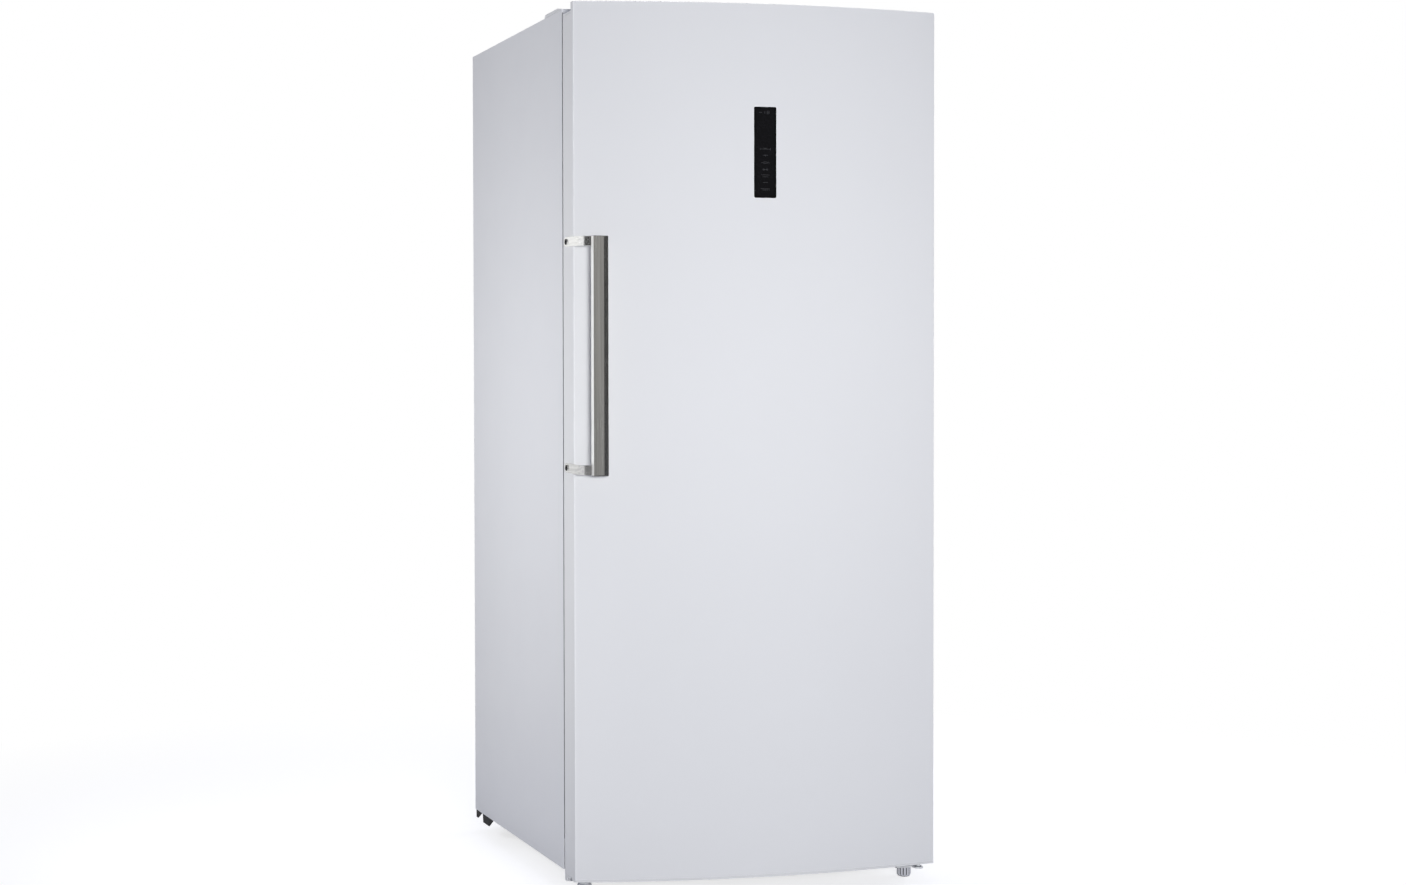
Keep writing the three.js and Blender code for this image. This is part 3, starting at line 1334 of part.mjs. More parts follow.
function makeDoorPanel() {
  const z0 = DOOR_LIFT + CAP_FLANGE + SEAT;
  const outer = prismZ(doorOutline(0, DOOR_EDGE), z0, DOOR_TOP);
  const inner = prismZ(doorOutline(STEEL, DOOR_EDGE + OVER), z0 - OVER, DOOR_TOP + OVER);
  const sideTop = RECESS_FLOOR - CAP_FLANGE - SEAT;
  const flanges = [-1, 1].map((side) => {
    const a = side * (HALF - STEEL / 2);
    const b = side * (HALF - DOOR_FLANGE);
    return block(Math.min(a, b), Math.max(a, b), DOOR_EDGE - STEEL, DOOR_EDGE, z0, sideTop);
  });
  const recess = block(-HALF - OVER, HALF + OVER, LIP_THICKNESS, DOOR_EDGE + OVER, sideTop, DOOR_TOP + OVER);
  const displayCut = prismY(displayOutline(SEAT), -DOOR_BOW - OVER, 0);
  const panel = joined([outer.subtract(inner), ...flanges])
    .subtract(recess)
    .subtract(displayCut)
    .subtract(screwHoles());
  place('door_outer_panel', panel, WHITE_STEEL);
}

// Top cap: a plug in the skin, a flange flush with the door's sides and the raised front lip.
function makeTopCap() {
  const inset = STEEL + SEAT;
  const flangeBottom = RECESS_FLOOR - CAP_FLANGE;
  const plugBottom = flangeBottom - CAP_PLUG;
  const back = DOOR_EDGE;
  const plug = prismZ(doorOutline(inset, back - STEEL - SEAT), plugBottom, DOOR_TOP);
  const recess = prismZ(behindBow(LIP_THICKNESS, back + OVER), RECESS_FLOOR, DOOR_TOP + OVER);
  const flange = prismZ(doorOutline(0, back), flangeBottom, RECESS_FLOOR).intersect(
    block(-HALF - OVER, HALF + OVER, LIP_THICKNESS + SEAT, back + OVER, flangeBottom - OVER, DOOR_TOP),
  );
  const bossTop = ARM_UNDERSIDE - RUNNING;
  const boss = rodZ(PIN_X, PIN_Y, PIN_BOSS, RECESS_FLOOR - OVER, bossTop, 24);
  const bore = rodZ(
    PIN_X,
    PIN_Y,
    PIN_RADIUS + RUNNING,
    ARM_UNDERSIDE - UPPER_PIN_LENGTH - OVER,
    DOOR_TOP + OVER,
    24,
  );
  const cap = plug.subtract(recess).add(flange).add(boss).subtract(bore);
  place('door_top_cap', cap, WHITE_PLASTIC);
}

// Bottom cap: a flush flange, a plug in the skin, a drip groove and a skirt at the rear.
function makeBottomCap() {
  const inset = STEEL + SEAT;
  const flangeTop = DOOR_LIFT + CAP_FLANGE;
  const back = DOOR_EDGE;
  const flange = prismZ(doorOutline(0, back), DOOR_LIFT, flangeTop);
  const plug = prismZ(doorOutline(inset, back - STEEL - SEAT), DOOR_LIFT, flangeTop + CAP_PLUG);
  const skirt = block(
    -HALF,
    HALF,
    back - SKIRT_THICKNESS,
    back,
    DOOR_LIFT - SKIRT_DROP,
    DOOR_LIFT + OVER,
  );
  const groove = block(
    -HALF - OVER,
    HALF + OVER,
    GROOVE_START,
    GROOVE_START + GROOVE_WIDTH,
    DOOR_LIFT - OVER,
    DOOR_LIFT + GROOVE_DEPTH,
  );
  const bore = rodZ(
    PIN_X,
    PIN_Y,
    PIN_RADIUS + RUNNING,
    0,
    BRACKET_UNDERSIDE + LOWER_PIN_LENGTH + OVER,
    24,
  );
  const cap = joined([flange, plug, skirt]).subtract(groove).subtract(bore);
  place('door_bottom_cap', cap, WHITE_PLASTIC);
}

// The ridge round the inner door as a block ring, grown or shrunk, between two depths.
function dikeRing(grow, y0, y1) {
  const outer = rect(-DIKE_HALF - grow, DIKE_HALF + grow, DIKE_BOTTOM - grow, DIKE_TOP + grow);
  const w = DIKE_WIDTH + grow;
  const inner = rect(-DIKE_HALF + w, DIKE_HALF - w, DIKE_BOTTOM + w, DIKE_TOP - w);
  return prismY(outer, y0, y1).subtract(prismY(inner, y0 - OVER, y1 + OVER));
}

function makeDoorInsulation() {
  const inset = STEEL + SEAT;
  const z0 = DOOR_LIFT + CAP_FLANGE + CAP_PLUG + SEAT;
  const z1 = RECESS_FLOOR - CAP_FLANGE - CAP_PLUG - SEAT;
  const body = prismZ(doorOutline(inset, DOOR_EDGE - STEEL - SEAT), z0, z1);
  const middle = HALF - DOOR_FLANGE - SEAT;
  const root = DOOR_EDGE - STEEL - SEAT - OVER;
  const fill = block(-middle, middle, root, DOOR_EDGE, z0, z1);
  const ridge = dikeRing(-LINER - SEAT, root, FRONT + DIKE_REACH - LINER - SEAT);
  const housing = housingBlock(SEAT, 0);
  const foam = joined([body, fill, ridge]).subtract(housing).subtract(screwHoles());
  place('door_insulation', foam, FOAM);
}

function makeDoorLiner() {
  const edgeX = HALF - GASKET_INSET - GASKET_WIDTH - SEAT;
  const z0 = DOOR_LIFT + GASKET_BOTTOM + GASKET_WIDTH + SEAT;
  const z1 = DOOR_TOP - GASKET_TOP - GASKET_WIDTH - SEAT;
  const plate = block(-edgeX, edgeX, DOOR_BACK, DOOR_BACK + LINER, z0, z1);
  const ridge = dikeRing(0, DOOR_BACK, FRONT + DIKE_REACH);
  const hollow = dikeRing(-LINER, DOOR_BACK - OVER, FRONT + DIKE_REACH - LINER);
  place('door_inner_liner', joined([plate, ridge]).subtract(hollow), LINER_WHITE);
}

// Magnetic gasket: two lips with a waist between them, run round as a frame.
function makeGasket() {
  const x = HALF - GASKET_INSET;
  const z0 = DOOR_LIFT + GASKET_BOTTOM;
  const z1 = DOOR_TOP - GASKET_TOP;
  const y0 = DOOR_BACK;
  const y1 = FRONT - SEAT;
  const w = GASKET_WIDTH;
  const frame = prismY(rect(-x, x, z0, z1), y0, y1).subtract(
    prismY(rect(-x + w, x - w, z0 + w, z1 - w), y0 - OVER, y1 + OVER),
  );
  const around = rect(-x - OVER, x + OVER, z0 - OVER, z1 + OVER);
  const d = GASKET_WAIST;
  const core = rect(-x + d, x - d, z0 + d, z1 - d);
  const waist = prismY(around, y0 + GASKET_LIP, y1 - GASKET_LIP).subtract(prismY(core, y0, y1));
  place('door_gasket', frame.subtract(waist), RUBBER);
}

// Open-topped bins between the ridges of the inner door.
function makeBins() {
  const half = DIKE_HALF - DIKE_WIDTH - BIN_SIDE_GAP;
  const y0 = DOOR_BACK + LINER + SEAT;
  const y1 = FRONT + BIN_REACH;
  const wall = BIN_WALL;
  BIN_LEVELS.forEach((level, i) => {
    const outer = new THREE.Shape();
    outer.moveTo(-half, y0);
    outer.lineTo(half, y0);
    outer.absarc(half - BIN_CORNER, y1 - BIN_CORNER, BIN_CORNER, 0, Math.PI / 2);
    outer.absarc(-half + BIN_CORNER, y1 - BIN_CORNER, BIN_CORNER, Math.PI / 2, Math.PI);
    const inner = new THREE.Shape();
    const r = BIN_CORNER - wall;
    inner.moveTo(-half + wall, y0 + wall);
    inner.lineTo(half - wall, y0 + wall);
    inner.absarc(half - wall - r, y1 - wall - r, r, 0, Math.PI / 2);
    inner.absarc(-half + wall + r, y1 - wall - r, r, Math.PI / 2, Math.PI);
    const top = level + BIN_HEIGHT;
    const bin = prismZ(outer, level, top).subtract(prismZ(inner, level + wall, top + OVER));
    place(`door_bin_${i + 1}`, bin, CLEAR);
  });
}

// The box behind the display that holds its board, between two distances behind the bow.
function housingBlock(grow, front) {
  const w = DISPLAY_WIDTH / 2 + HOUSING_MARGIN + grow;
  const z0 = DISPLAY_BOTTOM - HOUSING_MARGIN - grow;
  const z1 = DISPLAY_BOTTOM + DISPLAY_HEIGHT + HOUSING_MARGIN + grow;
  const back = -DOOR_BOW + HOUSING_DEPTH + grow;
  const curve = prismZ(behindBow(front, DOOR_EDGE), z0, z1);
  return curve.intersect(block(-w, w, -DOOR_BOW - OVER, back, z0 - OVER, z1 + OVER));
}

function makeDisplay() {
  const shell = prismZ(
    behindBow(-DISPLAY_PROUD, DOOR_EDGE),
    DISPLAY_BOTTOM - OVER,
    DISPLAY_BOTTOM + DISPLAY_HEIGHT + OVER,
  ).subtract(
    prismZ(
      behindBow(DISPLAY_GLASS - DISPLAY_PROUD, DOOR_EDGE + OVER),
      DISPLAY_BOTTOM - 2 * OVER,
      DISPLAY_BOTTOM + DISPLAY_HEIGHT + 2 * OVER,
    ),
  );
  const glass = prismY(displayOutline(0), -DOOR_BOW - OVER, 0).intersect(shell);
  place('display_glass', glass, BLACK_GLASS);
  const front = DISPLAY_GLASS - DISPLAY_PROUD + SEAT;
  place('display_housing', housingBlock(0, front), BLACK_PLASTIC);
}

// ---- Handle ----------------------------------------------------------------------------------

// Section of the bar: crowned front, square outer edge, bevelled inner edge.
function barSection() {
  const right = BAR_LEFT + BAR_WIDTH;
  const shape = new THREE.Shape();
  shape.moveTo(BAR_LEFT, BAR_BACK);
  shape.lineTo(BAR_LEFT, BAR_FRONT + BAR_CROWN);
  shape.quadraticCurveTo(
    (BAR_LEFT + right - BAR_BEVEL) / 2,
    BAR_FRONT - BAR_CROWN,
    right - BAR_BEVEL,
    BAR_FRONT + BAR_CROWN,
  );
  shape.quadraticCurveTo(right, BAR_FRONT + BAR_CROWN * 2, right, BAR_FRONT + BAR_BEVEL);
  shape.lineTo(right, BAR_BACK);
  return shape;
}

function makeHandle() {
  place('handle_bar', prismZ(barSection(), BAR_BOTTOM, BAR_BOTTOM + BAR_LENGTH, 4), BRUSHED);

  const inside = STRAP_OUTER + STRAP_SHEET;
  const meet = (BAR_FRONT + BAR_BACK) / 2;
  const bend = new THREE.CubicBezierCurve(
    new THREE.Vector2(inside, STRAP_BEND),
    new THREE.Vector2(inside, -STRAP_EASE),
    new THREE.Vector2(inside + STRAP_LEAN, meet),
    new THREE.Vector2(BAR_LEFT - SEAT, meet),
  );
  const path = [[inside, STRAP_TAIL], ...bend.getPoints(10).map((p) => [p.x, p.y])];
  const plan = strip(path, -STRAP_SHEET);
  const names = ['bottom', 'top'];
  STRAP_LEVELS.forEach((z, i) => {
    const band = prismZ(plan, z, z + STRAP_HEIGHT);
    const radius = STRAP_HEIGHT / 2;
    const tail = STRAP_TAIL - radius;
    const square = block(
      STRAP_OUTER - OVER,
      inside + OVER,
      tail,
      STRAP_TAIL + OVER,
      z - OVER,
      z + STRAP_HEIGHT + OVER,
    );
    const disc = rodX(tail, z + radius, radius, STRAP_OUTER - 2, inside + 2, 24);
    const strap = band.subtract(square.subtract(disc)).subtract(screwHoles());
    place(`handle_bracket_${names[i]}`, strap, BRUSHED);

    const x1 = STRAP_OUTER - SEAT;
    const x0 = x1 - SCREW_HEAD_HEIGHT;
    const head = rodX(SCREW_BACK, z + radius, SCREW_HEAD, x0, x1, 16);
    const shank = rodX(SCREW_BACK, z + radius, SCREW_RADIUS, x1 - OVER, x1 + SCREW_LENGTH, 12);
    const socket = rodX(SCREW_BACK, z + radius, SOCKET_RADIUS, x0 - OVER, x0 + SOCKET_DEPTH, 6);
    place(`handle_screw_${names[i]}`, head.add(shank).subtract(socket), BLACK_STEEL);
  });
}

// ---- Assembly --------------------------------------------------------------------------------

makeWrapper();
makeBackPanel();
makeStepPanel();
makeInsulation();
makeLiner();
makeBottomRail();
makeTopCover();
makeUpperHinge();
makeLowerBrackets();
makeFoot('front_foot_right', 1);
makeFoot('front_foot_left', -1);
makeBaseTray();
makeRoller('right', 1);
makeRoller('left', -1);
makeCompressor();
makeGrommets();
makeRelayBox();
makeRefrigerantLine();
makeDrainTray();
makeRearCover();
makeCordGland();
makeEvaporatorCover();
makeEvaporatorCoil();
makeDefrostHeater();
makeFan();
makeShelves();
makeDrawers();
makeLampCover();
makeDoorPanel();
makeTopCap();
makeBottomCap();
makeDoorInsulation();
makeDoorLiner();
makeGasket();
makeBins();
makeDisplay();
makeHandle();

// Stand the whole on the floor with its box centred on the origin.
const bounds = new THREE.Box3().setFromObject(freezer);
const middle = bounds.getCenter(new THREE.Vector3());
freezer.position.set(-middle.x, -middle.y, -bounds.min.z);
freezer.updateMatrixWorld(true);

export default freezer;
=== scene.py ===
"""An upright freezer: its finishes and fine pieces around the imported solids, in a plain studio.

Everything is in metres in the solids' own frame: +Z up, the door faces -Y, the floor is at Z = 0.
"""

import math

import bmesh
import bpy
from mathutils import Matrix, Vector


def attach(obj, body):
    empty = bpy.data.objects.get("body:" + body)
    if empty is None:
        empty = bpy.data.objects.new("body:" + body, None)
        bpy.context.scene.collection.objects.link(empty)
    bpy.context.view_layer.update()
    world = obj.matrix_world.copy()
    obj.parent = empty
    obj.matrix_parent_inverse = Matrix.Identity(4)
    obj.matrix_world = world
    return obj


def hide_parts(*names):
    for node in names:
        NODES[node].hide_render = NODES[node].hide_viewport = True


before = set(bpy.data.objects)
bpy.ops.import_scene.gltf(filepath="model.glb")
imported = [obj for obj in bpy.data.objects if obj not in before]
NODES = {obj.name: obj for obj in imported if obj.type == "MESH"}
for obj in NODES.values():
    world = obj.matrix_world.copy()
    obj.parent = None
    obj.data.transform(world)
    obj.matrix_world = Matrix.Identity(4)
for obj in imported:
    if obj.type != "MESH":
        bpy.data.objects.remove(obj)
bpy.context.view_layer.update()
SCENE = bpy.context.scene
MM = 0.001

# The drawing: millimetres from the middle of the door's front corner line, X to the right,
# Y to the back, Z up from the floor. These are its place in the frame and the body's main sizes.
DRAWING_ORIGIN = Vector((2.6, -325.85, 0.0))
HALF_WIDTH = 355.5
DOOR_BOW = 39.0
BOW_RADIUS = 1639.8

# ----------------------------------------------------------------------
# Camera: where the picture was taken from, worked out from the object's own edges
# ----------------------------------------------------------------------
IMAGE_WIDTH = 1406
FOCAL_PIXELS = 2338.4
AXIS_PIXEL_U = 400.0
SENSOR_WIDTH = 36.0
CAMERA_PLACE = Vector((-1.6209, -4.3984, 0.9493))
CAMERA_YAW = 0.22758
CAMERA_PITCH = 0.02555
CAMERA_ROLL = -0.00468


def make_camera():
    """The camera looks along yaw and pitch; its shift moves the picture, not the direction."""
    ahead = Vector(
        (
            math.sin(CAMERA_YAW) * math.cos(CAMERA_PITCH),
            math.cos(CAMERA_YAW) * math.cos(CAMERA_PITCH),
            -math.sin(CAMERA_PITCH),
        )
    )
    level_right = Vector((math.cos(CAMERA_YAW), -math.sin(CAMERA_YAW), 0.0))
    level_up = level_right.cross(ahead)
    right = math.cos(CAMERA_ROLL) * level_right + math.sin(CAMERA_ROLL) * level_up
    up = math.cos(CAMERA_ROLL) * level_up - math.sin(CAMERA_ROLL) * level_right
    data = bpy.data.cameras.new("camera")
    data.sensor_width = SENSOR_WIDTH
    data.lens = SENSOR_WIDTH * FOCAL_PIXELS / IMAGE_WIDTH
    data.shift_x = (IMAGE_WIDTH / 2 - AXIS_PIXEL_U) / IMAGE_WIDTH
    data.clip_start = 0.05
    data.clip_end = 60.0
    camera = bpy.data.objects.new("camera", data)
    turn = Matrix((right, up, -ahead)).transposed().to_4x4()
    camera.matrix_world = Matrix.Translation(CAMERA_PLACE) @ turn
    SCENE.collection.objects.link(camera)
    SCENE.camera = camera


# ----------------------------------------------------------------------
# Node helpers
# ----------------------------------------------------------------------
def fill_socket(tree, socket, value):
    """Links an output to the socket, or sets its value; a colour gets its alpha."""
    if isinstance(value, bpy.types.NodeSocket):
        tree.links.new(value, socket)
    elif socket.type == "RGBA":
        socket.default_value = (*value, 1.0)
    else:
        socket.default_value = value


def add_node(tree, kind, inputs=None, **settings):
    """A shader node with its settings made and its inputs, by name or number, filled."""
    made = tree.nodes.new("ShaderNode" + kind)
    for name, value in settings.items():
        setattr(made, name, value)
    for name, value in (inputs or {}).items():
        fill_socket(tree, made.inputs[name], value)
    return made


def add_math(tree, operation, first, second=0.0, clamp=False):
    """The result of a Math node."""
    inputs = {0: first, 1: second}
    return add_node(tree, "Math", inputs, operation=operation, use_clamp=clamp).outputs[0]


def add_noise(tree, scale, detail=3.0, stretch=(1.0, 1.0, 1.0), roughness=0.5):
    """Noise in object space, with its scale in cells per metre, stretched by the three factors."""
    place = add_node(tree, "TexCoord").outputs["Object"]
    mapped = add_node(tree, "Mapping", {"Vector": place, "Scale": stretch}).outputs["Vector"]
    sizes = {"Vector": mapped, "Scale": scale, "Detail": detail, "Roughness": roughness}
    return add_node(tree, "TexNoise", sizes).outputs["Fac"]


def add_cells(tree, scale, output):
    """One output of a cell pattern in object space, with its scale in cells per metre."""
    place = add_node(tree, "TexCoord").outputs["Object"]
    return add_node(tree, "TexVoronoi", {"Vector": place, "Scale": scale}).outputs[output]


def add_range(tree, value, low, high, start=0.3, end=0.7):
    """Maps start..end of the value to low..high."""
    sizes = {"Value": value, "From Min": start, "From Max": end, "To Min": low, "To Max": high}
    return add_node(tree, "MapRange", sizes).outputs["Result"]


def add_blend(tree, factor, first, second):
    """A colour between two colours."""
    made = add_node(tree, "Mix", data_type="RGBA")
    for name, value in (("Factor_Float", factor), ("A_Color", first), ("B_Color", second)):
        socket = next(s for s in made.inputs if s.identifier == name)
        fill_socket(tree, socket, value)
    return next(s for s in made.outputs if s.identifier == "Result_Color")


def add_mottle(tree, pattern, colour, factor):
    """The colour, shaded by the factor where the pattern is low."""
    return add_blend(tree, add_range(tree, pattern, 0.0, 1.0), tint(colour, factor), colour)


def add_bump(tree, height, strength, distance, below=None):
    """A bump normal of the height, laid over another bump where one is given."""
    inputs = {"Height": height, "Strength": strength, "Distance": distance}
    if below is not None:
        inputs["Normal"] = below
    return add_node(tree, "Bump", inputs).outputs["Normal"]


def tint(colour, factor):
    """The colour made darker or lighter."""
    return tuple(min(1.0, c * factor) for c in colour)


def edge_mask(tree, radius, gain):
    """1 along sharp edges, 0 on flat areas: where the rounded normal leaves the true one."""
    rounded = add_node(tree, "Bevel", {"Radius": radius}, samples=4).outputs["Normal"]
    true = add_node(tree, "NewGeometry").outputs["Normal"]
    alike = add_node(tree, "VectorMath", {0: rounded, 1: true}, operation="DOT_PRODUCT")
    apart = add_math(tree, "SUBTRACT", 1.0, alike.outputs["Value"])
    return add_math(tree, "MULTIPLY", apart, gain, clamp=True)


MATERIALS = {}


def new_material(name, metallic=0.0, coat=0.0, coat_roughness=0.1, ior=1.5):
    """An empty material: its node tree and its main shader."""
    material = bpy.data.materials.new("look_" + name)
    material.use_nodes = True
    tree = material.node_tree
    tree.nodes.clear()
    shader = add_node(tree, "BsdfPrincipled", {"Metallic": metallic, "IOR": ior})
    shader.inputs["Coat Weight"].default_value = coat
    shader.inputs["Coat Roughness"].default_value = coat_roughness
    add_node(tree, "OutputMaterial", {"Surface": shader.outputs["BSDF"]})
    MATERIALS[name] = material
    return tree, shader


def feed(tree, shader, **values):
    """Fills the shader's sockets; a name's _ stands for a space."""
    for name, value in values.items():
        fill_socket(tree, shader.inputs[name.replace("_", " ")], value)


# ----------------------------------------------------------------------
# Materials, one function for each kind
# ----------------------------------------------------------------------
SIDE_SHADE = 0.94  # painted shade: the outer sides' colour against the rest of the paint
SIDE_START = HALF_WIDTH - 1.0  # how far from the middle the sides' painted shade begins
SIDE_FULL = HALF_WIDTH - 0.3  # and is full
EDGE_HIGHLIGHT_RADIUS = 0.003  # metres: how near a bent edge the painted highlight lies
EDGE_HIGHLIGHT_GAIN = 3.0
GRAIN_SIZE = 0.0004  # metres between the plastic's grains
DUST_SHARE = 0.03
DUST_COLOUR = (0.16, 0.155, 0.15)


def side_shade_mask(tree):
    """1 on the two outer sides, where the painted shade goes, 0 elsewhere, from the place on the
    object.
    """
    place = add_node(tree, "TexCoord").outputs["Object"]
    across = add_node(tree, "SeparateXYZ", {"Vector": place}).outputs["X"]
    away = add_math(tree, "SUBTRACT", across, DRAWING_ORIGIN.x * MM)
    away = add_math(tree, "ABSOLUTE", away)
    return add_range(tree, away, 0.0, 1.0, SIDE_START * MM, SIDE_FULL * MM)


def painted_steel(name, colour, roughness, peel, edge_highlight):
    """Stoved paint on sheet steel: orange peel, uneven gloss, a painted highlight along bent edges
    and painted shade on the outer sides.
    """
    tree, shader = new_material(name, coat=0.25, coat_roughness=0.12)
    broad = add_noise(tree, 2.2, 2.0)
    fine = add_noise(tree, 420.0, 2.0)
    even = add_mottle(tree, broad, colour, 0.985)
    # painted highlight: the colour made lighter along bent edges
    highlight_mask = edge_mask(tree, EDGE_HIGHLIGHT_RADIUS, EDGE_HIGHLIGHT_GAIN)
    highlighted = add_blend(tree, highlight_mask, even, tint(colour, edge_highlight))
    feed(
        tree,
        shader,
        # painted shade: the outer sides darkened
        Base_Color=add_blend(tree, side_shade_mask(tree), highlighted, tint(colour, SIDE_SHADE)),
        Roughness=add_range(tree, add_noise(tree, 14.0, 4.0), roughness, roughness + 0.06),
        Normal=add_bump(tree, fine, peel, 0.00015),
    )


def powder_coat(name, colour, roughness):
    """A coarser, matt coating on brackets."""
    tree, shader = new_material(name)
    grain = add_noise(tree, 1400.0, 3.0)
    feed(
        tree,
        shader,
        Base_Color=add_mottle(tree, add_noise(tree, 30.0), colour, 0.93),
        Roughness=add_range(tree, grain, roughness - 0.06, roughness + 0.08),
        Normal=add_bump(tree, grain, 0.25, 0.00012),
    )


def moulded_plastic(name, colour, roughness, ior=1.49):
    """Injection-moulded plastic with a spark-eroded grain and slow flow marks."""
    tree, shader = new_material(name, ior=ior)
    grain = add_noise(tree, 1.0 / GRAIN_SIZE, 2.0)
    flow = add_noise(tree, 5.0, 3.0, stretch=(1.0, 1.0, 0.35))
    feed(
        tree,
        shader,
        Base_Color=add_mottle(tree, flow, colour, 0.96),
        Roughness=add_range(tree, grain, roughness - 0.05, roughness + 0.05),
        Normal=add_bump(tree, grain, 0.12, 0.0001),
    )


def formed_liner(name, colour):
    """Vacuum-formed sheet: glossy, with slow waves where it was drawn into the mould."""
    tree, shader = new_material(name, coat=0.2, coat_roughness=0.15)
    waves = add_noise(tree, 9.0, 2.0)
    grain = add_noise(tree, 900.0, 2.0)
    ripple = add_bump(tree, waves, 0.15, 0.002)
    feed(
        tree,
        shader,
        Base_Color=add_mottle(tree, waves, colour, 0.975),
        Roughness=add_range(tree, grain, 0.3, 0.4),
        Normal=add_bump(tree, grain, 0.08, 0.0001, below=ripple),
    )


def raw_foam(name, colour):
    """Poured polyurethane foam: cells and darker skin."""
    tree, shader = new_material(name)
    cells = add_cells(tree, 700.0, "Distance")
    feed(
        tree,
        shader,
        Base_Color=add_blend(tree, add_noise(tree, 12.0, 5.0), tint(colour, 0.8), colour),
        Roughness=0.9,
        Normal=add_bump(tree, cells, 0.4, 0.0005),
    )


def plated_steel(name, colour, roughness):
    """Zinc-plated sheet: crystals of slightly different tone and fine rolling lines."""
    tree, shader = new_material(name, metallic=1.0)
    crystals = add_cells(tree, 90.0, "Color")
    grey = add_node(tree, "SeparateColor", {"Color": crystals}).outputs["Red"]
    lines = add_noise(tree, 60.0, 4.0, stretch=(1.0, 1.0, 20.0))
    feed(
        tree,
        shader,
        Base_Color=add_blend(tree, grey, tint(colour, 0.93), colour),
        Roughness=add_range(tree, add_noise(tree, 25.0, 5.0), roughness, roughness + 0.08),
        Normal=add_bump(tree, lines, 0.06, 0.0002),
    )


def enamel(name, colour):
    """Dipped black enamel with a little dust on it."""
    tree, shader = new_material(name, ior=1.25)
    dust = add_range(tree, add_noise(tree, 18.0, 6.0), 0.0, DUST_SHARE, 0.45, 0.75)
    feed(
        tree,
        shader,
        Base_Color=add_blend(tree, dust, colour, DUST_COLOUR),
        Roughness=add_range(tree, dust, 0.6, 0.75, 0.0, DUST_SHARE),
        Normal=add_bump(tree, add_noise(tree, 300.0, 3.0), 0.12, 0.0002),
    )


def brushed_metal(name, dark, light, roughness, stretch):
    """Brushed steel: long fine scratches, drawn along the axis with the small stretch factor."""
    tree, shader = new_material(name, metallic=1.0)
    scratches = add_noise(tree, 900.0, 3.0, stretch=stretch, roughness=0.6)
    bands = add_noise(tree, 260.0, 2.0, stretch=stretch)
    tone = add_math(tree, "MULTIPLY", add_math(tree, "ADD", scratches, bands), 0.5)
    tone = add_range(tree, tone, 0.0, 1.0, 0.35, 0.65)
    feed(
        tree,
        shader,
        Base_Color=add_blend(tree, tone, dark, light),
        Roughness=add_range(tree, scratches, roughness, roughness + 0.08),
        Normal=add_bump(tree, scratches, 0.06, 0.00003),
    )


def plain_metal(name, colour, roughness):
    """Drawn or rolled metal with light tarnish."""
    tree, shader = new_material(name, metallic=1.0)
    tarnish = add_noise(tree, 40.0, 6.0)
    feed(
        tree,
        shader,
        Base_Color=add_mottle(tree, tarnish, colour, 0.78),
        Roughness=add_range(tree, tarnish, roughness + 0.1, roughness - 0.06),
        Normal=add_bump(tree, add_noise(tree, 700.0, 3.0), 0.05, 0.0001),
    )


def clear_sheet(name, colour, roughness, ior):
    """Clear plastic or glass: light passes, with slow waves in the surface."""
    tree, shader = new_material(name, ior=ior)
    waves = add_noise(tree, 16.0, 2.0)
    shader.inputs["Transmission Weight"].default_value = 0.92
    feed(
        tree,
        shader,
        Base_Color=add_mottle(tree, waves, colour, 0.97),
        Roughness=add_range(tree, add_noise(tree, 45.0, 4.0), roughness, roughness + 0.05),
        Normal=add_bump(tree, waves, 0.08, 0.0008),
    )


def dark_glass(name, colour):
    """Glossy black glass with the finest film of dust."""
    tree, shader = new_material(name, ior=1.24)
    film = add_noise(tree, 220.0, 5.0)
    specks = add_range(tree, film, 0.0, 1.0, 0.5, 0.8)
    feed(
        tree,
        shader,
        Base_Color=add_blend(tree, specks, colour, tint(colour, 2.2)),
        Roughness=add_range(tree, film, 0.06, 0.14),
        Normal=add_bump(tree, add_noise(tree, 30.0, 2.0), 0.02, 0.0002),
    )


def soft_rubber(name, colour, roughness):
    """Rubber or soft PVC: matt, with bloom on its surface."""
    tree, shader = new_material(name, ior=1.48)
    shader.inputs["Sheen Weight"].default_value = 0.1
    bloom = add_noise(tree, 35.0, 5.0)
    pale = add_range(tree, bloom, 0.0, 1.0)
    grain = add_noise(tree, 1800.0, 2.0)
    feed(
        tree,
        shader,
        Base_Color=add_blend(tree, pale, colour, tint(colour, 1.15)),
        Roughness=add_range(tree, bloom, roughness, roughness + 0.1),
        Normal=add_bump(tree, grain, 0.15, 0.0001),
    )


def frosted_lens(name, colour):
    """A frosted diffuser that light sinks into a little."""
    tree, shader = new_material(name, ior=1.49)
    shader.inputs["Subsurface Weight"].default_value = 0.3
    shader.inputs["Subsurface Radius"].default_value = (0.01, 0.01, 0.01)
    frost = add_noise(tree, 1500.0, 3.0)
    feed(
        tree,
        shader,
        Base_Color=add_mottle(tree, frost, colour, 0.95),
        Roughness=add_range(tree, frost, 0.42, 0.55),
        Normal=add_bump(tree, frost, 0.2, 0.0001),
    )


ALONG_Z = (1.0, 1.0, 0.01)
ALONG_Y = (1.0, 0.01, 1.0)


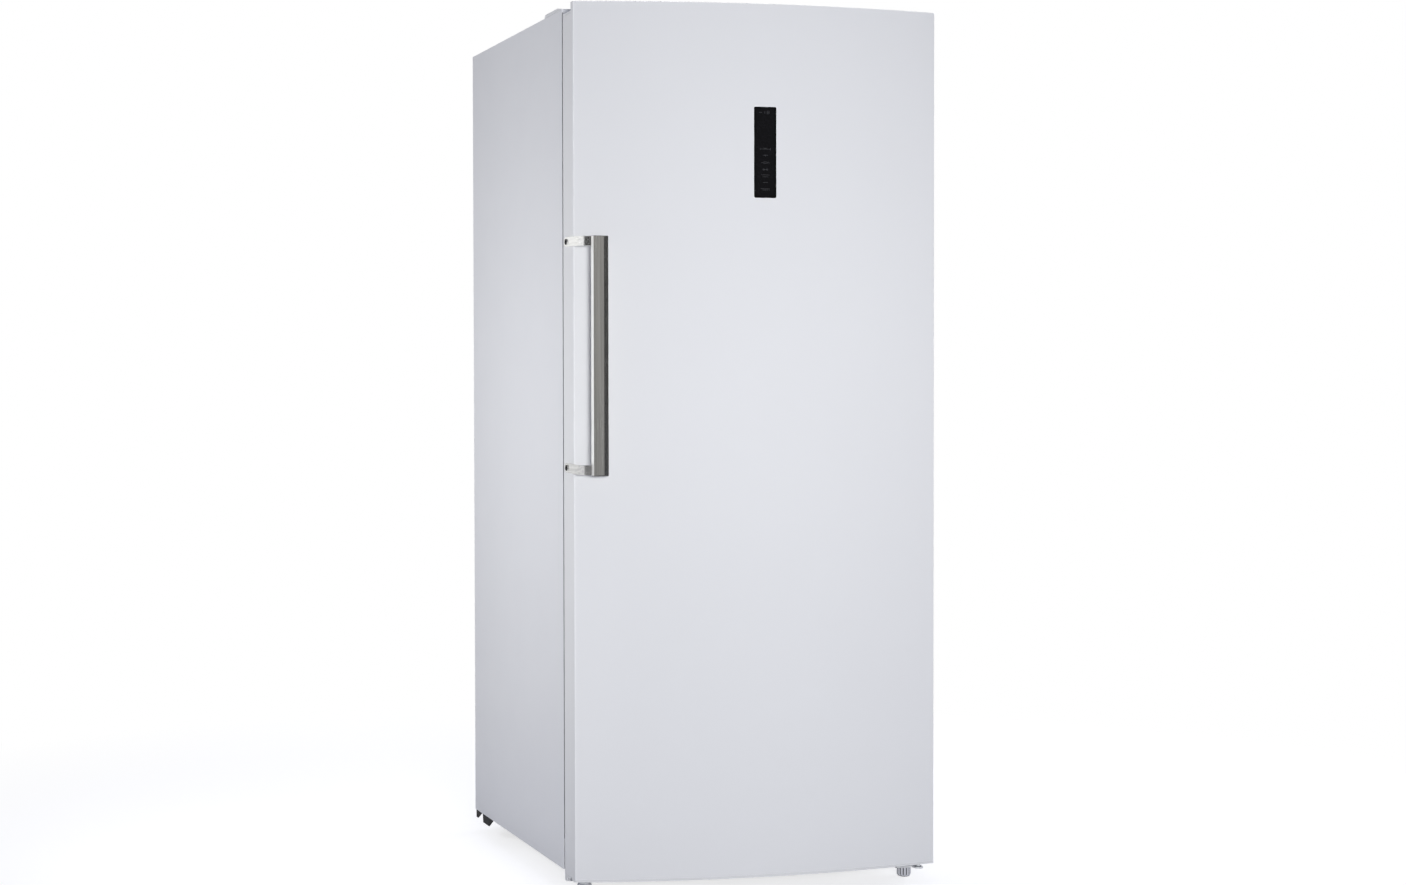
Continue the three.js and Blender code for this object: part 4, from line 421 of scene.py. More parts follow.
def make_materials():
    """One look for each material slot of the solids, then those that only fine pieces have."""
    # The last number of each painted steel sets its painted highlight along bent edges.
    painted_steel("white_steel", (0.80, 0.807, 0.825), 0.38, 0.035, 1.2)
    painted_steel("side_steel", (0.80, 0.81, 0.843), 0.38, 0.05, 1.05)
    moulded_plastic("white_plastic", (0.79, 0.797, 0.81), 0.4)
    formed_liner("liner_white", (0.84, 0.85, 0.85))
    raw_foam("foam", (0.72, 0.63, 0.38))
    plated_steel("zinc", (0.62, 0.63, 0.65), 0.36)
    powder_coat("bracket_white", (0.82, 0.83, 0.85), 0.5)
    enamel("black_steel", (0.008, 0.008, 0.01))
    moulded_plastic("black_plastic", (0.009, 0.009, 0.011), 0.5, ior=1.24)
    dark_glass("black_glass", (0.003, 0.003, 0.0038))
    brushed_metal("brushed_steel", (0.51, 0.50, 0.46), (0.68, 0.67, 0.62), 0.2, ALONG_Z)
    clear_sheet("clear_plastic", (0.955, 0.975, 0.985), 0.06, 1.4)
    clear_sheet("shelf_glass", (0.88, 0.96, 0.93), 0.02, 1.45)
    soft_rubber("gasket_grey", (0.3, 0.305, 0.32), 0.5)
    soft_rubber("dark_rubber", (0.02, 0.02, 0.02), 0.6)
    plain_metal("aluminium", (0.66, 0.67, 0.69), 0.35)
    plain_metal("copper", (0.72, 0.36, 0.2), 0.32)
    moulded_plastic("foot_grey", (0.66, 0.67, 0.72), 0.45)
    # A dark copy of the foot's plastic: painted shade in its flutes and a painted shadow at its
    # bottom.
    moulded_plastic("foot_groove", (0.13, 0.132, 0.145), 0.6)
    frosted_lens("lamp_white", (0.9, 0.9, 0.87))
    # A lighter copy of the brushed steel for the bar's outer side: a painted highlight.
    brushed_metal("bar_side_highlight", (0.86, 0.86, 0.85), (0.97, 0.97, 0.96), 0.3, ALONG_Z)
    brushed_metal("satin_steel", (0.50, 0.50, 0.50), (0.68, 0.68, 0.67), 0.2, ALONG_Y)
    # A lighter copy of the strap steel for the top strap and the washers: a painted highlight.
    brushed_metal("steel_painted_highlight", (0.74, 0.74, 0.72), (0.94, 0.94, 0.92), 0.2, ALONG_Y)
    moulded_plastic("faint_print", (0.05, 0.051, 0.055), 0.5)
    dark_glass("black_border", (0.0008, 0.0008, 0.001))


# ----------------------------------------------------------------------
# Carried-over solids
# ----------------------------------------------------------------------
SOLID_EDGE = 0.0006  # metres: how far a solid's edges are rounded
WELD_DISTANCE = 0.00001


def finish_solid(node):
    """Gives a carried-over solid its look and rounds its edges; its own mesh stays as it is."""
    solid = NODES[node]
    slot = solid.material_slots[0].material.name.split(".")[0]
    solid.material_slots[0].material = MATERIALS[slot]
    for face in solid.data.polygons:
        face.use_smooth = True
    weld = solid.modifiers.new("weld", "WELD")
    weld.merge_threshold = WELD_DISTANCE
    round_edges(solid, SOLID_EDGE)


# ----------------------------------------------------------------------
# Mesh helpers: points are given in the drawing's millimetres
# ----------------------------------------------------------------------
SMOOTH_LIMIT = 32.0  # degrees between faces that are shaded as one surface
BEVEL_LIMIT = 35.0  # degrees between faces whose edge is rounded
SHARPEST_MITRE = 0.3  # cosine that keeps a sharp corner's point from running away
PLANES = {
    "X": lambda a, b, level: (level, a, b),
    "Y": lambda a, b, level: (a, level, b),
    "Z": lambda a, b, level: (a, b, level),
}


def at(x, y, z):
    """A point of the drawing in the frame, in metres."""
    return (DRAWING_ORIGIN + Vector((x, y, z))) * MM


def bow(x):
    """How far the door's bowed front lies behind its corner line at x."""
    return BOW_RADIUS - DOOR_BOW - math.sqrt(BOW_RADIUS**2 - x**2)


def box_outline(x0, x1, y0, y1, radius, steps=5):
    """A rectangle with rounded corners as pairs."""
    corners = ((x1, y1, 0), (x0, y1, 90), (x0, y0, 180), (x1, y0, 270))
    points = []
    for x, y, start in corners:
        cx = x - math.copysign(radius, x - (x0 + x1) / 2)
        cy = y - math.copysign(radius, y - (y0 + y1) / 2)
        for i in range(steps + 1):
            angle = math.radians(start + 90 * i / steps)
            points.append((cx + radius * math.cos(angle), cy + radius * math.sin(angle)))
    return points


def add_skin(form, rings, loop=False):
    """Joins rings of points with quads; an open run gets its two end faces."""
    rows = [[form.verts.new(p) for p in ring] for ring in rings]
    for i in range(len(rows) if loop else len(rows) - 1):
        first, second = rows[i], rows[(i + 1) % len(rows)]
        for j in range(len(first)):
            k = (j + 1) % len(first)
            form.faces.new((first[j], first[k], second[k], second[j]))
    if not loop:
        form.faces.new(rows[0])
        form.faces.new(rows[-1][::-1])


def add_slab(form, axis, outline, low, high, ease=0.0):
    """An outline drawn out along an axis, its two faces shrunk a little where the rim is eased."""
    a0 = sum(a for a, _ in outline) / len(outline)
    b0 = sum(b for _, b in outline) / len(outline)
    half_a = max(abs(a - a0) for a, _ in outline)
    half_b = max(abs(b - b0) for _, b in outline)
    levels = [(low, 0.0), (high, 0.0)]
    if ease:
        levels = [(low, ease), (low + ease, 0.0), (high - ease, 0.0), (high, ease)]
    rings = []
    for level, shrink in levels:
        ring = []
        for a, b in outline:
            a1 = a0 + (a - a0) * (1 - shrink / half_a)
            b1 = b0 + (b - b0) * (1 - shrink / half_b)
            ring.append(at(*PLANES[axis](a1, b1, level)))
        rings.append(ring)
    add_skin(form, rings)


def add_turned(form, centre, axis, profile, steps=32, sides=None):
    """Turns pairs (distance along the axis, radius); with sides, the last two are a socket."""
    ahead = Vector(axis).normalized()
    across = ahead.orthogonal().normalized()
    other = ahead.cross(across)
    rings = []
    for n, (along, radius) in enumerate(profile):
        ring = []
        for i in range(steps):
            angle = 2 * math.pi * i / steps
            reach = radius
            if sides and n >= len(profile) - 2:
                part = 2 * math.pi / sides
                reach = radius / math.cos(angle % part - part / 2)
            point = Vector(centre) + ahead * along
            point += (across * math.cos(angle) + other * math.sin(angle)) * reach
            ring.append(at(*point))
        rings.append(ring)
    add_skin(form, rings)


def add_swept(form, path, section, up, loop=False):
    """Sweeps a section of pairs (to the side, upwards) along points, mitred at its corners."""
    up = Vector(up)
    points = [Vector(p) for p in path]
    count = len(points)
    rings = []
    for i, point in enumerate(points):
        before = points[i - 1] if loop or i > 0 else None
        after = points[(i + 1) % count] if loop or i < count - 1 else None
        come = (point - before if before is not None else after - point).normalized()
        go = (after - point if after is not None else point - before).normalized()
        ahead = (come + go).normalized()
        side = ahead.cross(up).normalized() / max(SHARPEST_MITRE, ahead.dot(go))
        rings.append([at(*(point + side * a + up * b)) for a, b in section])
    add_skin(form, rings, loop)


def round_section(radius, steps=8):
    """A circle of pairs."""
    turn = [2 * math.pi * i / steps for i in range(steps)]
    return [(radius * math.cos(t), radius * math.sin(t)) for t in turn]


def make_piece(name, body, slot, form, look=None, stands_for=(), edge=0.0):
    """Turns a bmesh into a piece that rides on its body; edge rounds its sharp edges, in mm."""
    bmesh.ops.recalc_face_normals(form, faces=form.faces[:])
    mesh = bpy.data.meshes.new(name)
    form.to_mesh(mesh)
    form.free()
    for face in mesh.polygons:
        face.use_smooth = True
    mesh.set_sharp_from_angle(angle=math.radians(SMOOTH_LIMIT))
    mesh.materials.append(MATERIALS[look or slot])
    piece = bpy.data.objects.new(name, mesh)
    SCENE.collection.objects.link(piece)
    if edge:
        round_edges(piece, edge * MM)
    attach(piece, body)
    if stands_for:
        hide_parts(*stands_for)
    return piece


def round_edges(thing, width):
    """Rounds the sharp edges and shades the faces flat between them."""
    edge = thing.modifiers.new("edge", "BEVEL")
    edge.width = width
    edge.segments = 2
    edge.limit_method = "ANGLE"
    edge.angle_limit = math.radians(BEVEL_LIMIT)
    edge.harden_normals = True
    thing.modifiers.new("shade", "WEIGHTED_NORMAL")


# ----------------------------------------------------------------------
# Handle
# ----------------------------------------------------------------------
BAR_LEFT = -335.3
BAR_RIGHT = -305.5
BAR_BACK = -40.0
BAR_FRONT = -56.0
BAR_LOW = 779.0
BAR_HIGH = 1212.0
BAR_SHARP = 15.0  # degrees between the bar's faces that are shaded apart
PLUG_LENGTH = 3.0
PLUG_SHARE_X = 0.96  # the end plugs' width and depth against the bar's
PLUG_SHARE_Y = 0.94
STRAP_SIDE = -355.8
STRAP_SHEET = 3.0
STRAP_HALF_HEIGHT = 8.9
STRAP_LEVELS = (789.5, 1203.0)
STRAP_RISE = 2.4  # the tail lies this much higher than the end at the bar
STRAP_RISE_RUN = 60.0  # and rises over this length
STRAP_TAIL_END = 47.0
STRAP_STRAIGHT = (26.0, 14.0, 2.0, -8.0)
STRAP_BEND = ((0.0, -15.0), (0.0, -29.0), (3.5, -34.4), (12.0, -37.0))  # inwards from the side, Y
STRAP_BEND_STEPS = 16
SCREW_Y = 33.0
WASHER = ((-0.2, 6.6), (0.0, 6.9), (0.5, 6.9), (0.7, 6.6), (0.7, 3.0))
SOCKET_HEAD = ((-9.0, 2.0), (0.2, 2.0), (0.3, 5.4), (1.5, 5.4))
SOCKET_HEAD += ((1.88, 5.0), (1.88, 2.8), (0.6, 2.6))


def bar_section():
    """Square outer side, a face with the slightest crown, and a flat bevel on the inner side."""
    face_end = BAR_RIGHT - 9.6
    points = [(BAR_LEFT + 0.8, BAR_BACK), (BAR_LEFT, BAR_BACK - 0.8)]
    points += [(BAR_LEFT, BAR_FRONT + 1.1), (BAR_LEFT + 0.3, BAR_FRONT + 0.5)]
    for i in range(9):
        t = i / 8
        x = BAR_LEFT + 0.9 + (face_end - BAR_LEFT - 1.3) * t
        points.append((x, BAR_FRONT + 0.3 * (2 * t - 1) ** 2))
    points += [(face_end, BAR_FRONT + 0.5), (BAR_RIGHT - 0.5, BAR_FRONT + 5.0)]
    points += [(BAR_RIGHT, BAR_FRONT + 5.6), (BAR_RIGHT, BAR_BACK - 0.8)]
    points.append((BAR_RIGHT - 0.8, BAR_BACK))
    return points


def make_handle_bar():
    """The bar, with a painted highlight on its outer side, and a dark plug set in each end."""
    form = bmesh.new()
    add_slab(form, "Z", bar_section(), BAR_LOW + 1.3, BAR_HIGH - 0.5, ease=0.35)
    bar = make_piece("handle_bar_tube", "door", "brushed_steel", form, stands_for=("handle_bar",))
    bar.data.set_sharp_from_angle(angle=math.radians(BAR_SHARP))
    # the outer side takes a lighter copy of the steel: a painted highlight
    bar.data.materials.append(MATERIALS["bar_side_highlight"])
    for face in bar.data.polygons:
        face.material_index = 1 if face.normal.x < -0.7 else 0
    x0, y0 = (BAR_LEFT + BAR_RIGHT) / 2, (BAR_FRONT + BAR_BACK) / 2
    plug = []
    for x, y in bar_section():
        plug.append((x0 + (x - x0) * PLUG_SHARE_X, y0 + (y - y0) * PLUG_SHARE_Y))
    form = bmesh.new()
    add_slab(form, "Z", plug, BAR_LOW, BAR_LOW + PLUG_LENGTH, ease=0.3)
    add_slab(form, "Z", plug, BAR_HIGH - PLUG_LENGTH, BAR_HIGH, ease=0.3)
    make_piece("handle_end_plugs", "door", "black_plastic", form)


def strap_path():
    """Inner face of a strap from its tail to the bar: (x, y, half height)."""
    centre = STRAP_TAIL_END - STRAP_HALF_HEIGHT
    points = []
    for degrees in range(84, -1, -12):
        angle = math.radians(degrees)
        rise = STRAP_HALF_HEIGHT * math.sin(angle)
        points.append((STRAP_SIDE, centre + rise, STRAP_HALF_HEIGHT * math.cos(angle)))
    points += [(STRAP_SIDE, y, STRAP_HALF_HEIGHT) for y in STRAP_STRAIGHT]
    for i in range(STRAP_BEND_STEPS + 1):
        t = i / STRAP_BEND_STEPS
        weights = ((1 - t) ** 3, 3 * t * (1 - t) ** 2, 3 * t * t * (1 - t), t**3)
        x = STRAP_SIDE + sum(w * e[0] for w, e in zip(weights, STRAP_BEND))
        y = sum(w * e[1] for w, e in zip(weights, STRAP_BEND))
        points.append((x, y, STRAP_HALF_HEIGHT))
    points.append((BAR_LEFT + 1.5, BAR_BACK + 0.1, STRAP_HALF_HEIGHT))
    return points


def make_straps():
    """Two bent straps with rounded tails, screwed to the door's side."""
    path = strap_path()
    nodes = ("handle_bracket_bottom", "handle_bracket_top")
    # the top strap takes a lighter copy of the steel, a painted highlight; the bottom one takes the
    # plain steel
    looks = ("satin_steel", "steel_painted_highlight")
    for level, node, look in zip(STRAP_LEVELS, nodes, looks):
        rings = []
        for i, (x, y, half) in enumerate(path):
            before, after = path[max(i - 1, 0)], path[min(i + 1, len(path) - 1)]
            ahead = Vector((after[0] - before[0], after[1] - before[1], 0.0)).normalized()
            out = Vector((ahead.y, -ahead.x, 0.0))
            ease = min(0.5, half * 0.4)
            sheet = STRAP_SHEET
            section = [(0.0, half - ease), (ease, half), (sheet - ease, half), (sheet, half - ease)]
            section += [(a, -b) for a, b in reversed(section)]
            centre = level + STRAP_RISE * min(1.0, (y - BAR_BACK) / STRAP_RISE_RUN)
            rings.append([at(x + out.x * a, y + out.y * a, centre + b) for a, b in section])
        form = bmesh.new()
        add_skin(form, rings)
        name = node.replace("bracket", "strap")
        make_piece(name, "door", "brushed_steel", form, look=look, stands_for=(node,))


def make_handle_screws():
    """A black socket head on a bright washer, on each strap's tail."""
    face = STRAP_SIDE - STRAP_SHEET
    for low, node in zip(STRAP_LEVELS, ("handle_screw_bottom", "handle_screw_top")):
        level = low + STRAP_RISE
        form = bmesh.new()
        add_turned(form, (face, SCREW_Y, level), (-1, 0, 0), WASHER, 36)
        name = node.replace("screw", "washer")
        # the washers take the same lighter copy of the steel, a painted highlight
        make_piece(name, "door", "brushed_steel", form, look="steel_painted_highlight")
        form = bmesh.new()
        add_turned(form, (face, SCREW_Y, level), (-1, 0, 0), SOCKET_HEAD, 36, sides=6)
        make_piece(node.replace("screw", "bolt"), "door", "black_steel", form, stands_for=(node,))


# ----------------------------------------------------------------------
# Door front
# ----------------------------------------------------------------------
DISPLAY_FACE = 0.5  # the glass stands this proud of the skin
BORDER_HALF = 19.5
BORDER_LOW = 1287.5
BORDER_HIGH = 1448.5
STROKE_WIDTH = 0.7
# The number at the top: its level, its sign, and each digit's place with its strokes. A stroke is
# given as x0, z0, x1, z1.
NUMBER_LEVEL = 1438.5
MINUS = (-12.0, 2.5, -7.0, 2.5)
DIGITS = (
    (-5.0, ((4, 5, 4, 0),)),
    (3.5, ((0, 5, 4, 5), (0, 2.5, 4, 2.5), (0, 0, 4, 0), (0, 0, 0, 5), (4, 0, 4, 5))),
)
# The marks below it: each one's level with its strokes
MARKS = (
    (1374.0, ((-10, 0, 10, 0), (-10, -1.6, -10, 1.6), (10, -1.6, 10, 1.6), (-3, 1.6, 3, 1.6))),
    (1362.0, ((-5, 0.8, 5, 0.8), (0, -1.4, 0, 1.6))),
    (1349.5, ((-8, -0.8, 0, 1.4), (0, 1.4, 8, -0.8), (-4, -1.4, 4, -1.4))),
    (1336.5, ((-4, -1.6, 4, 1.6), (-4, 1.6, 4, -1.6), (-5, 0, 5, 0))),
    (1325.0, ((-8, 1.8, 8, 1.8), (-5, -1.8, 5, -1.8))),
    (1313.0, ((-4.5, 0, 4.5, 0),)),
    (1300.5, ((-8.5, 1, 8.5, 1), (-5, -1.2, 5, -1.2), (7, -1.2, 8.5, -1.2))),
)


def add_stroke(form, x0, z0, x1, z1):
    """A printed line on the display's glass."""
    along = Vector((x1 - x0, z1 - z0)).normalized() * STROKE_WIDTH / 2
    across = Vector((-along.y, along.x))
    start, end = Vector((x0, z0)) - along, Vector((x1, z1)) + along
    outline = [start - across, end - across, end + across, start + across]
    level = bow((x0 + x1) / 2) - DISPLAY_FACE
    add_slab(form, "Y", [tuple(p) for p in outline], level - 0.06, level + 0.3)


def make_display_marks():
    """Faint touch marks down the display, and a plain number at its top."""
    form = bmesh.new()
    groups = [(0.0, level, strokes) for level, strokes in MARKS]
    groups.append((0.0, NUMBER_LEVEL, (MINUS,)))
    groups += [(x, NUMBER_LEVEL, strokes) for x, strokes in DIGITS]
    for x, z, strokes in groups:
        for x0, z0, x1, z1 in strokes:
            add_stroke(form, x + x0, z + z0, x + x1, z + z1)
    make_piece("display_marks", "door", "black_glass", form, look="faint_print")
    y = bow(BORDER_HALF) - DISPLAY_FACE
    path = [(-BORDER_HALF, y, BORDER_LOW), (BORDER_HALF, y, BORDER_LOW)]
    path += [(BORDER_HALF, y, BORDER_HIGH), (-BORDER_HALF, y, BORDER_HIGH)]
    section = [(-1.9, -0.05), (1.9, -0.05), (1.9, 0.2), (-1.9, 0.2)]
    form = bmesh.new()
    add_swept(form, path, section, (0, 1, 0), loop=True)
    make_piece("display_border", "door", "black_glass", form, look="black_border")


# ----------------------------------------------------------------------
# Door back and the cabinet's front edges: the seal, dark strips that paint the door gap's shade,
# the strip below the liner, bins
# ----------------------------------------------------------------------
DOOR_BACK = 62.3
CABINET_FRONT = 68.7
CABINET_EDGE_X = 353.7
# Where the dark strips of painted gap shade lie on the cabinet's front edges
GAP_SHADE_HALF = 1.5
GAP_SHADE_LOW = 102.0
GAP_SHADE_HIGH = 1629.0
GASKET_X = 324.0
GASKET_LOW = 88.0
GASKET_HIGH = 1602.0
STRIP_SCREW = ((0.0, 3.6), (0.5, 3.5), (1.1, 2.4), (1.3, 0.8))
BIN_LEVELS = (170.0, 514.5, 859.0, 1203.5)
BIN_HEIGHT = 92.0
BIN_HALF = 255.2
BIN_REAR = 66.5
BIN_FRONT = 149.4
BIN_CORNER = 28.0


def make_gasket():
    """A mitred bellows seal, and thin dark strips on the cabinet's front edges: painted shade for
    the gap behind the door.
    """
    right = [(7, 0.0), (8.6, 1.1), (6.6, 2.1), (9.6, 3.3), (9.9, 5.2), (9.1, 6.1), (3.5, 5.8)]
    section = right + [(-a, b) for a, b in reversed(right)]
    path = [
        (-GASKET_X, DOOR_BACK, GASKET_LOW),
        (GASKET_X, DOOR_BACK, GASKET_LOW),
        (GASKET_X, DOOR_BACK, GASKET_HIGH),
        (-GASKET_X, DOOR_BACK, GASKET_HIGH),
    ]
    form = bmesh.new()
    add_swept(form, path, section, (0, 1, 0), loop=True)
    make_piece("gasket_bellows", "door", "gasket_grey", form, stands_for=("door_gasket",), edge=0.2)
    # dark strips where the gap between door and cabinet is only in shade: painted shade
    form = bmesh.new()
    for x in (-CABINET_EDGE_X, CABINET_EDGE_X):
        x0, x1 = x - GAP_SHADE_HALF, x + GAP_SHADE_HALF
        outline = box_outline(x0, x1, GAP_SHADE_LOW, GAP_SHADE_HIGH, 1.0, 3)
        add_slab(form, "Y", outline, CABINET_FRONT - 0.3, CABINET_FRONT + 0.4, ease=0.15)
    make_piece("gap_shade_strips", "cabinet", "gasket_grey", form)


def make_door_strip():
    """The painted strip that closes the door's back below the seal."""
    form = bmesh.new()
    add_slab(form, "Y", box_outline(-312.2, 312.2, 57.0, 79.0, 1.0), 62.05, 62.28)
    for x in (-300.0, -150.0, 0.0, 150.0, 300.0):
        add_turned(form, (x, 62.2, 67.5), (0, 1, 0), STRIP_SCREW, 20)
    make_piece("door_lower_strip", "door", "white_steel", form)


def make_bin_rims():
    """A bead round each bin's edge, a guard rail across its front and ribs under its floor."""
    path = [(BIN_HALF, BIN_REAR)]
    for degrees in range(0, 91, 10):
        angle = math.radians(degrees)
        x = BIN_HALF - BIN_CORNER * (1 - math.cos(angle))
        path.append((x, BIN_FRONT - BIN_CORNER * (1 - math.sin(angle))))
    path += [(-x, y) for x, y in reversed(path)]
    for i, level in enumerate(BIN_LEVELS):
        form = bmesh.new()
        top = level + BIN_HEIGHT
        add_swept(form, [(x, y, top - 1.5) for x, y in path], round_section(1.9), (0, 0, 1))
        add_swept(form, [(x, y, top - 16.0) for x, y in path], round_section(1.1, 6), (0, 0, 1))
        rib = box_outline(72.0, 142.0, level + 2.3, level + 4.2, 0.8, 3)
        for x in (-170.0, -85.0, 0.0, 85.0, 170.0):
            add_slab(form, "X", rib, x - 0.8, x + 0.8)
        make_piece(f"bin_rim_{i + 1}", "door", "clear_plastic", form)


# ----------------------------------------------------------------------
# Inside the cabinet
# ----------------------------------------------------------------------
INNER_HALF = 293.5
SHELF_FRONT = 168.7
SHELF_BACK = 554.7
SHELF_LEVELS = (712.0, 996.0, 1280.0)
DRAWER_LEVELS = (118.0, 317.0, 516.0)
DRAWER_BACKS = (429.7, 551.7, 551.7)
DRAWER_HEIGHT = 172.0
DRAWER_HALF = 276.2
DUCT_FRONT = 557.7
VENT_TOPS = (1498.0, 1214.0, 930.0)
LINE_RADIUS = 0.9


def make_liner_ledges():
    """Moulded ledges on both side walls, under the shelves and under the drawers' rims."""
    form = bmesh.new()
    runs = [(level - 4.5, 190.0, 545.0, 285.0) for level in SHELF_LEVELS]
    runs += [(z + 149.5, 185.0, back - 14.0, 280.0) for z, back in zip(DRAWER_LEVELS, DRAWER_BACKS)]
    for top, y0, y1, inner in runs:
        outline = box_outline(y0, y1, top - 9.0, top, 3.5)
        for side in (-1, 1):
            low, high = sorted((side * (INNER_HALF + 0.4), side * inner))
            add_slab(form, "X", outline, low, high, ease=0.6)
    make_piece("liner_ledges", "cabinet", "liner_white", form)


def make_vent_frames():
    """A raised bead round each group of air slots."""
    form = bmesh.new()
    for top in VENT_TOPS:
        for x in (-140.0, 140.0):
            outline = box_outline(x - 64, x + 64, top - 44, top + 12, 6.0)
            path = [(a, DUCT_FRONT - 0.2, b) for a, b in outline]
            add_swept(form, path, round_section(1.5, 6), (0, 1, 0), loop=True)
    make_piece("vent_frames", "cabinet", "liner_white", form)


def make_shelf_strips():
    """The strip along each shelf's rear edge."""
    for i, level in enumerate(SHELF_LEVELS):
        form = bmesh.new()
        outline = box_outline(SHELF_BACK - 9.0, SHELF_BACK + 0.6, level - 6.0, level + 3.2, 1.6, 4)
        add_slab(form, "X", outline, -290.0, 290.0, ease=0.5)
        make_piece(f"shelf_strip_{i + 1}", "cabinet", "white_plastic", form)


def make_drawer_details():
    """Each drawer's top bead, three shallow lines across its front and an empty label frame."""
    for i, (level, back) in enumerate(zip(DRAWER_LEVELS, DRAWER_BACKS)):
        form = bmesh.new()
        top = level + DRAWER_HEIGHT
        line = round_section(LINE_RADIUS, 6)
        front = SHELF_FRONT - 0.1
        loop = box_outline(-DRAWER_HALF, DRAWER_HALF, SHELF_FRONT + 1.3, back - 1.3, 11.0)
        bead = [(x, y, top - 1.0) for x, y in loop]
        add_swept(form, bead, round_section(2.0), (0, 0, 1), loop=True)
        for rise in (26.0, 34.0, 42.0):
            path = [(x, front, level + rise) for x in (-270.0, 270.0)]
            add_swept(form, path, line, (0, 1, 0))
        label = box_outline(-252.0, -182.0, top - 42.0, top - 24.0, 3.0)
        add_swept(form, [(x, front, z) for x, z in label], line, (0, 1, 0), loop=True)
        make_piece(f"drawer_rim_{i + 1}", f"drawer_{i + 1}", "clear_plastic", form)


# ----------------------------------------------------------------------
# Feet, bolts, back, compressor bay
# ----------------------------------------------------------------------
FOOT_X = 320.0
FOOT_Y = 56.0
FOOT_FLUTES = 12
FLUTE_DEPTH = 2.4
FLUTE_DEPTH_AT_RIMS = 0.8
FLUTE_LOW = 3.0
FLUTE_HIGH = 18.0
GROOVE_REACH = 11.9  # faces nearer to the wheel's axis lie in a flute and get the painted shade
# Heights and radii of the foot's wheel, from the floor up
WHEEL = ((0.0, 8.6), (0.5, 10.2), (1.8, 11.8), (3.6, 12.9))
WHEEL += ((5.5, 13.5), (17.2, 13.5), (18.6, 13.1), (19.2, 12.3))
RAIL_FRONT = 71.9
BRACKET_RIGHT = -296.5
BRACKET_LOW = 19.5
BRACKET_HIGH = 72.0
BRACKET_SHEET = 3.0
TONGUE_RADIUS = 11.0  # of the bracket's plate round the foot's stud
BOLT_HEAD = ((0.0, 5.6), (0.5, 5.6), (0.8, 4.4), (2.0, 4.0), (2.1, 3.9))
PIN_WASHER = ((0.0, 6.5), (0.3, 6.8), (1.2, 6.8), (1.5, 6.5))
BACK_FACE = 706.5
PAN_HEAD = ((0.0, 5.6), (0.4, 5.6), (0.9, 4.6), (1.15, 2.6), (0.3, 1.9))
FILLER_CAP = ((0.0, 24.0), (0.5, 24.0), (1.0, 22.0), (1.1, 6.0), (0.7, 4.0))
SEAM_CENTRE = (150.0, 599.2)
SEAM_RADII = (94.4, 63.9)
SEAM_LEVEL = 152.0
GLAND_RIB = ((0.0, 11.0), (0.4, 12.2), (1.6, 12.2), (2.0, 11.0))


def make_foot(side, name):
    """A fluted thumb-wheel, rounded at its bottom, with a threaded stud: painted shade in its
    flutes and a painted shadow at its bottom.
    """
    x, y = side * FOOT_X, FOOT_Y
    form = bmesh.new()
    steps = FOOT_FLUTES * 6
    rings = []
    for z, radius in WHEEL:
        depth = FLUTE_DEPTH if FLUTE_LOW < z < FLUTE_HIGH else FLUTE_DEPTH_AT_RIMS
        ring = []
        for i in range(steps):
            angle = 2 * math.pi * i / steps
            reach = radius - depth * (0.5 + 0.5 * math.cos(FOOT_FLUTES * angle)) ** 2
            ring.append(at(x + reach * math.cos(angle), y + reach * math.sin(angle), z))
        rings.append(ring)
    add_skin(form, rings)
    thread = [(19.0 + 0.45 * i, 5.0 if i % 2 else 4.4) for i in range(13)]
    add_turned(form, (x, y, 0.0), (0, 0, 1), thread, 24)
    node, body = f"front_foot_{name}", f"foot_{name}"
    wheel = make_piece(f"foot_wheel_{name}", body, "foot_grey", form, stands_for=(node,))
    # flute faces and the bottom take the dark copy: painted shade in the flutes, a painted contact
    # shadow below
    wheel.data.materials.append(MATERIALS["foot_groove"])
    for face in wheel.data.polygons:
        place = (face.center - at(x, y, 0.0)) / MM
        flute_shade = place.xy.length < GROOVE_REACH and 4.0 < place.z < FLUTE_HIGH
        face.material_index = 1 if flute_shade or place.z < 2.0 else 0


def make_bracket_bolts():
    """Flanged bolts through the lower brackets into the rail, and a washer on the lower pin."""
    form = bmesh.new()
    for x in (-322.0, -305.0, 305.0, 322.0):
        for z in (44.0, 61.0):
            place = (x, RAIL_FRONT - BRACKET_SHEET, z)
            add_turned(form, place, (0, -1, 0), BOLT_HEAD, 30, sides=6)
    make_piece("bracket_bolts", "cabinet", "zinc", form, look="bracket_white")
    form = bmesh.new()
    add_turned(form, (337.5, 30.0, 22.5), (0, 0, 1), PIN_WASHER, 32)
    make_piece("pin_washer", "cabinet", "zinc", form)


def make_left_bracket():
    """The left foot's bracket: a flange on the rail and a plate rounded round the stud."""
    left = -FOOT_X - TONGUE_RADIUS
    tongue = [(left, RAIL_FRONT)]
    for degrees in range(180, 361, 15):
        angle = math.radians(degrees)
        x = -FOOT_X + TONGUE_RADIUS * math.cos(angle)
        tongue.append((x, FOOT_Y + TONGUE_RADIUS * math.sin(angle)))
    tongue += [(BRACKET_RIGHT, FOOT_Y + 5.0), (BRACKET_RIGHT, RAIL_FRONT)]
    flange = box_outline(left, BRACKET_RIGHT, BRACKET_LOW, BRACKET_HIGH, 4.0, 4)
    form = bmesh.new()
    add_slab(form, "Z", tongue, BRACKET_LOW, BRACKET_LOW + BRACKET_SHEET)
    add_slab(form, "Y", flange, RAIL_FRONT - BRACKET_SHEET, RAIL_FRONT)
    node = "left_foot_bracket"
    make_piece("foot_bracket", "cabinet", "bracket_white", form, stands_for=(node,), edge=0.4)


